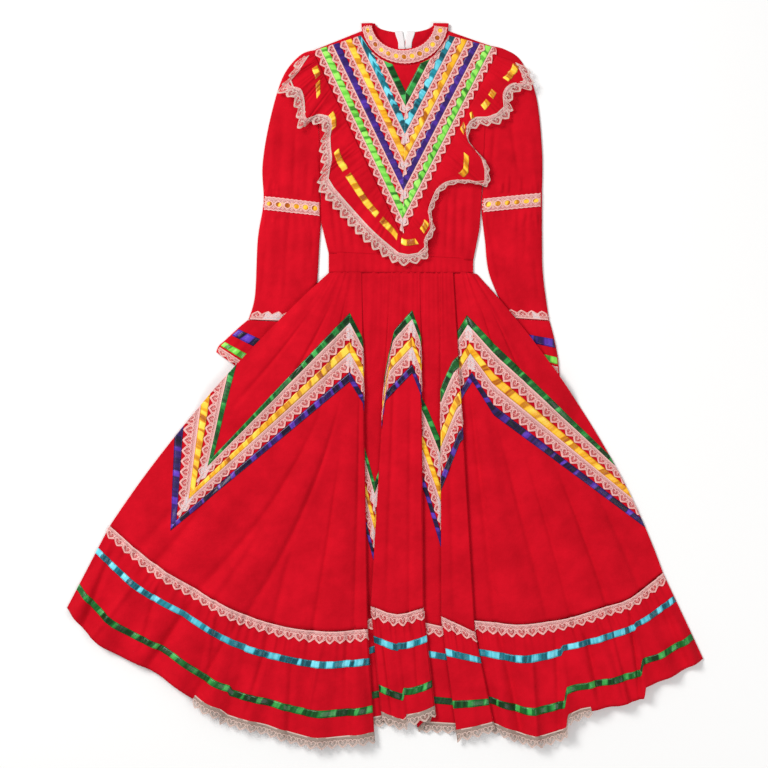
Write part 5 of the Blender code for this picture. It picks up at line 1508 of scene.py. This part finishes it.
# The stretches of the gold ribbon that the ruffle's folds leave in view, and how far down it runs
GOLD_SHOWN = (
    (1.7, 3.4), (3.5, 4.9), (6.5, 7.7), (8.7, 10.3), (10.4, 12.9), (13.0, 14.6), (14.75, 16.2),
    (17.1, 18.2), (22.8, 24.7), (25.8, 26.8), (27.5, 28.1), (28.7, 29.6), (29.7, 30.7), (31.9, 34),
)
GOLD_STATIONS = (0, 2, 3, 4, 5, 6, 7, 8, 9, 10, 12, 13, 14, 15, 16, 17, 18, 23, 24, 25, 26, 28, 30,
                 31, 32, 33, 34)
GOLD_SHARES = (0.2, 0.11, 0.16, 0.27, 0.34, 0.35, 0.49, 0.55, 0.57, 0.43, 0.42, 0.36, 0.28, 0.24,
               0.49, 0.61, 0.59, 0.67, 0.45, 0.36, 0.2, 0.44, 0.36, 0.44, 0.54, 0.45, 0.7)
GOLD_DIP = 3.0
RUFFLE_STEPS, GOLD_STEPS, UNDER_LACE = 16, 20, 0.05

ruffle_rows = [(side, Ruffle(*row)) for side, rows in RUFFLE.items() for row in rows]
ruffle_seam = np.array([
    (RUFFLE_SEAM_X + side * (row.seam_y - RUFFLE_SEAM_Y) * YOKE_SLOPES.get(side, 0),
     row.seam_y, RUFFLE_SEAM_LEVEL) for side, row in ruffle_rows])
ruffle_edge = np.array([row[1:] for _, row in ruffle_rows], dtype=float)
last_ruffle = len(ruffle_rows) - 1


def ruffle_places(at, down):
    """Places on the ruffle: at counts the rows of its table and down runs from seam to edge."""
    at, down = np.broadcast_arrays(np.asarray(at, float), np.asarray(down, float))
    seam, edge = spline(ruffle_seam, at), spline(ruffle_edge, at)
    places = mix(seam, edge, down[..., None])
    uneven = at + 0.35 * np.sin(1.9 * at) + 0.2 * np.sin(4.7 * at)
    gathers = np.sin(2 * pi * RUFFLE_GATHERS * uneven) * (1 - ease(down / 0.55)) * ease(down / 0.06)
    small = np.sin(2 * pi * 1.7 * uneven + 1) * ease(down / 0.3) * 0.7
    lift = RUFFLE_GATHER * (0.55 + gathers / 2) * (down < 0.6) + small
    places[..., 2] = (mix(seam[..., 2], edge[..., 2], np.sin(down * pi / 2))
                      + lift * np.minimum(down / 0.06, 1))
    return places


def ruffle_reach(at):
    """How deep the ruffle is."""
    depth = np.linalg.norm(spline(ruffle_edge, at) - spline(ruffle_seam, at), axis=-1)
    return np.maximum(depth, SHORTEST_REACH)


def ruffle_strip(stations, starts, ends, rows=5):
    """A strip of the ruffle between two depths, which may change along it."""
    share = np.linspace(0, 1, rows)
    places = ruffle_places(stations[:, None], starts[:, None] + (ends - starts)[:, None] * share)
    width = np.linalg.norm(places[:, -1] - places[:, 0], axis=-1).mean()
    return Surface(run_along(places), share * width, places)


stations = np.linspace(0, last_ruffle, last_ruffle * RUFFLE_STEPS + 1)
lace_starts = 1 - np.interp(stations, LACE_STATIONS, LACE_DEPTHS) / ruffle_reach(stations)
ruffle_cloth = cloth("bertha_ruffle_cloth", ruffle_places(
    stations[:, None], (lace_starts + UNDER_LACE)[:, None] * np.linspace(0, 1, 28)))
gold_form = bmesh.new()
for start, end in GOLD_SHOWN:
    shown = np.linspace(start, end, int((end - start) * GOLD_STEPS) + 2)
    gold_half = RIBBON / 2 / ruffle_reach(shown)
    gold_down = np.interp(shown, GOLD_STATIONS, GOLD_SHARES)
    gold_form.from_mesh(ribbon_mesh("gold", ruffle_strip(
        shown, gold_down - gold_half, gold_down + gold_half), BEADED, dip=GOLD_DIP))
ruffle_trims = [
    piece("bertha_gold_satin", mesh_of(gold_form, "bertha_gold_satin"), [SATINS["gold_satin"]],
          "bertha_gold_ribbon", RIBBON_THICK),
    lace("bertha_heart_lace", lace_mesh(
        ruffle_strip(stations, lace_starts, np.ones(len(stations))), lift=1.0), cord=shade_painted_cord),
]

# The sleeves: long tubes of the cotton, set into the armholes and laid flat, with soft creases and
# small puckers above and below the elbow's band. Their seams run down the inner edge.
Section = namedtuple("Section", "west_x west_y east_x east_y height")
SLEEVES = {
    "l": (
        (-129.5, 619, -121, 384, BODICE_LEVEL), (-157, 609, -121.5, 374, 6.2), (-189, 568, -122, 364, 6.4),
        (-213, 487, -122, 354, 7.4), (-226, 407, -121.5, 346, 8.2), (-224, 350, -121, 337, 7.4),
        (-226, 323, -120.5, 311, 7.4), (-235, 268, -121, 268, 8.2), (-240, 166, -130, 166, 7.4),
        (-252, 121, -160, 117, 5.9),
    ),
    "r": (
        (182, 388, 195.5, 626, BODICE_LEVEL), (182.5, 378, 222, 620, 6.2), (183, 368, 252, 598, 6.4),
        (182.5, 359, 279, 535, 7.2), (182, 352, 290, 435, 8.2), (181.5, 344, 290, 356, 7.4),
        (181, 318, 290, 329, 7.4), (185, 268, 290, 268, 8.2), (194, 202, 292, 202, 7.4),
        (229, 124, 303, 119, 5.9),
    ),
}
SLEEVE_FOLDS = {
    "l": (
        (-176, 318, -186, 176, 5, -2.6), (-206, 314, -214, 168, 8, 1.6), (-150, 312, -153, 190, 6, 1.4),
        (-133, 300, -136, 230, 4, -1.4), (-165, 470, -169, 352, 4, -2.0), (-188, 505, -193, 356, 6, -1.6),
        (-206, 480, -211, 352, 6, 1.4), (-141, 420, -146, 345, 5, -1.6), (-178, 250, -196, 150, 5, 1.2),
        (-219, 250, -228, 160, 5, -1.4),
    ),
    "r": (
        (203, 470, 198, 400, 5, -2.4), (232, 490, 246, 398, 5, -2.8), (246, 398, 258, 362, 6, -1.8),
        (222, 420, 262, 368, 6, 1.4), (268, 470, 274, 380, 7, 1.4), (190, 316, 214, 176, 6, -2.2),
        (262, 314, 258, 232, 5, -1.6), (236, 300, 238, 190, 8, 1.4), (276, 236, 284, 160, 5, -1.6),
        (214, 216, 236, 140, 5, -1.6),
    ),
}
SIDE_LOW, SIDE_HIGH = 0.45, 3.1
RING_TOP = 60
ELBOW_TOP, ELBOW_BOTTOM, ELBOW_HOLES = 5.02, 5.98, 6
ARMHOLE_LAP, ARMHOLE_ROWS = 1.8, 7
END_LACE_PITCH = 19.0
WRIST_TOPS, WRIST_BOTTOM = {"l": 8.5, "r": 8.72}, 8.98
WRIST_DOUBLED = {"l": (42.0, 51.0, 60.0), "r": (21.0,)}
PUCKER_COUNT, PUCKER_LENGTH, PUCKER_HEIGHT = 13, 34, 1.3


def sleeve_puckers(x, upper, lower):
    """Small gathers that run up and down from the elbow's band, as folds."""
    rows = []
    for y, way in ((upper, 1), (lower, -1)):
        for _ in range(PUCKER_COUNT):
            start = x + chance.uniform(-52, 52)
            reach = PUCKER_LENGTH * chance.uniform(0.5, 1.2)
            rows.append(Fold(start, y, start + chance.uniform(-4, 4), y + way * reach,
                             chance.uniform(1.6, 2.8), PUCKER_HEIGHT * chance.uniform(0.5, 1.2)))
    return tuple(rows)


SLEEVE_PUCKERS = {"l": sleeve_puckers(-172, 348, 316), "r": sleeve_puckers(236, 354, 322)}


def ring_at(share):
    """The number of the column on a tube's top at a share of its width."""
    return np.arccos(1 - 2 * np.asarray(share, float)) / pi


def tube(sections, row_count, armhole=0, folds=(), waves=0, wave=0.0):
    """A flattened tube: at runs 0 to 1 over its top and 1 to 2 back under it, down by section.

    armhole is -1 or 1 where the tube's first rows are lapped into the bodice at its side.
    """
    knots = np.array(sections, dtype=float)
    near, far = (0, 2) if armhole > 0 else (2, 0)
    knots[:ARMHOLE_ROWS, near] -= armhole * ARMHOLE_LAP
    knots[0, far] -= armhole * ARMHOLE_LAP
    columns, downs = np.linspace(0, 2, 2 * RING_TOP + 1), np.linspace(0, len(knots) - 1, row_count)
    at, down = np.meshgrid(columns, downs, indexing="ij")
    share = (1 - np.cos(pi * at)) / 2
    row = Section(*np.moveaxis(spline(knots, down), -1, 0))
    x = mix(row.west_x, row.east_x, share)
    y = mix(row.west_y, row.east_y, share)
    side = (SIDE_LOW + SIDE_HIGH) / 2
    off_middle = abs(2 * share - 1)
    relief = fold_height(x, y, folds) * ease((1 - off_middle) / 0.16)
    ripple = wave * ease(down / 3) * np.sin(2 * pi * waves * share + 1.3 * np.sin(5 * share))
    top = side + (row.height - side) * (1 - off_middle ** 5) ** 0.5
    top = top + relief + ripple * (1 - off_middle ** 5)
    low = side - (side - SIDE_LOW) * (1 - off_middle ** 8) ** 0.5
    if armhole:
        from_tip = share if armhole < 0 else 1 - share
        seam = armhole_level(from_tip * UNDERARM_DOWN)
        lower = mix(SIDE_LOW, SHOULDER_LEVEL, ease(1 - from_tip / 0.45))
        here = ease(1 - down)
        top = top * (1 - here) + seam * here
        low = low * (1 - here) + lower * here
    return Surface(columns, downs, np.stack((x, y, np.where(at > 1, low, top)), axis=-1),
                   ring=True)


def tube_strip(surface, start, end, top, bottom):
    """A strip on a tube's top between two shares of its width and two of its sections."""
    return surface.strip(ring_at(np.linspace(start, end, 90))[:, None],
                         np.linspace(top, bottom, 5))


def end_lace(name, strip, doubled=()):
    """The heart lace at a sleeve's or a cuff's end, as wide as its strip."""
    return lace(name, lace_mesh(strip, pitch=END_LACE_PITCH, width=strip.down[-1],
                                doubled=doubled))


sleeve_cloths, sleeve_trims = {}, {}
for side, toward in (("l", -1), ("r", 1)):
    sleeve = tube(SLEEVES[side], 120, toward, SLEEVE_FOLDS[side] + SLEEVE_PUCKERS[side])
    sleeve_cloths[side] = cloth("sleeve_cloth_" + side, sleeve.places, closed=True)
    sleeve_trims[side] = [
        *beading("elbow_beading_" + side, "elbow_beading_lace_" + side,
                 "elbow_gold_ribbon_" + side, sleeve, ring_at(0.03), ring_at(0.97),
                 ELBOW_TOP, ELBOW_BOTTOM, ELBOW_HOLES),
        end_lace("wrist_heart_lace_" + side, tube_strip(
            sleeve, 0.975, 0.025, WRIST_BOTTOM, WRIST_TOPS[side]), WRIST_DOUBLED[side]),
    ]

# The cuffs: flared frills gathered to the sleeves' ends, crossed by a purple and a lime ribbon and
# edged with lace. The skirt lies over their inner ends.
CUFFS = {
    "l": (
        (-253, 120, -162, 115, 5.7), (-270, 106, -178, 66, 6.4), (-296, 82, -198, 30, 6.8),
        (-307, 72, -208, 8, 7.0), (-312, 60, -217, -8, 7.0),
    ),
    "r": (
        (230, 123, 304, 118, 5.7), (231, 102, 312, 88, 6.4), (229, 75, 319, 53, 6.8),
        (229, 58, 321, 34, 7.0), (229, 40, 323, 16, 7.0),
    ),
}
CUFF_WAVES, CUFF_WAVE = 7, 0.9
CUFF_ROWS, CUFF_SHOWN = 40, 39
CUFF_LEFT, CUFF_RIGHT = 0.025, 0.975
cuff_cloths, cuff_trims = {}, {}
for side in ("l", "r"):
    cuff = tube(CUFFS[side], CUFF_ROWS, waves=CUFF_WAVES, wave=CUFF_WAVE)
    cuff_cloths[side] = cloth("cuff_flounce_cloth_" + side, cuff.places[:, :CUFF_SHOWN],
                              closed=True)
    purple_strip, lime_strip, lace_strip = (
        tube_strip(cuff, CUFF_LEFT, CUFF_RIGHT, top, bottom)
        for top, bottom in ((1.1, 1.55), (2.1, 2.8), (3.05, 3.98)))
    cuff_trims[side] = [
        ribbon("cuff_purple_satin_" + side, "cuff_purple_ribbon_" + side, purple_strip,
               "purple_satin"),
        ribbon("cuff_lime_satin_" + side, "cuff_lime_ribbon_" + side, lime_strip, "lime_satin"),
        end_lace("cuff_heart_lace_" + side, lace_strip),
    ]

# The cut of every piece of cloth: a rectangle that holds it, with its own area where it is flared
Cut = namedtuple("Cut", "cloth width length held area rests_on trims")
for cut in map(Cut._make, (
        (skirt_cloth, 1.45, 0.68, "gathered", 0.70, skirt_backs[0], zigzag_trims),
        (flounce_cloth, 1.75, 0.19, "gathered", None, flounce_back, flounce_trims),
        (skirt_backs[0], 0.56, 0.72, "laid", 0.24, board, []),
        (skirt_backs[1], 0.52, 0.70, "laid", 0.22, board, []),
        (flounce_back, 1.15, 0.18, "laid", None, board, []),
        (waist_front, 0.27, 0.037, "laid", None, waist_backs[0], []),
        (waist_backs[0], 0.135, 0.037, "laid", None, board, []),
        (waist_backs[1], 0.135, 0.037, "laid", None, board, []),
        (bodice_cloth, 0.33, 0.39, "laid", 0.11, bodice_backs[0], yoke_trims),
        (bodice_backs[0], 0.17, 0.39, "laid", 0.056, board, []),
        (bodice_backs[1], 0.17, 0.39, "laid", 0.056, board, []),
        (collar_cloth, 0.21, 0.027, "laid", None, bodice_cloth, collar_trims),
        (collar_backs[0], 0.09, 0.027, "laid", None, bodice_backs[0], []),
        (collar_backs[1], 0.09, 0.027, "laid", None, bodice_backs[1], []),
        (ruffle_cloth, 0.85, 0.07, "gathered", None, bodice_cloth, ruffle_trims),
        (sleeve_cloths["l"], 0.24, 0.5, "laid", 0.10, board, sleeve_trims["l"]),
        (sleeve_cloths["r"], 0.24, 0.5, "laid", 0.10, board, sleeve_trims["r"]),
        (cuff_cloths["l"], 0.22, 0.12, "gathered", None, board, cuff_trims["l"]),
        (cuff_cloths["r"], 0.18, 0.1, "gathered", None, board, cuff_trims["r"]))):
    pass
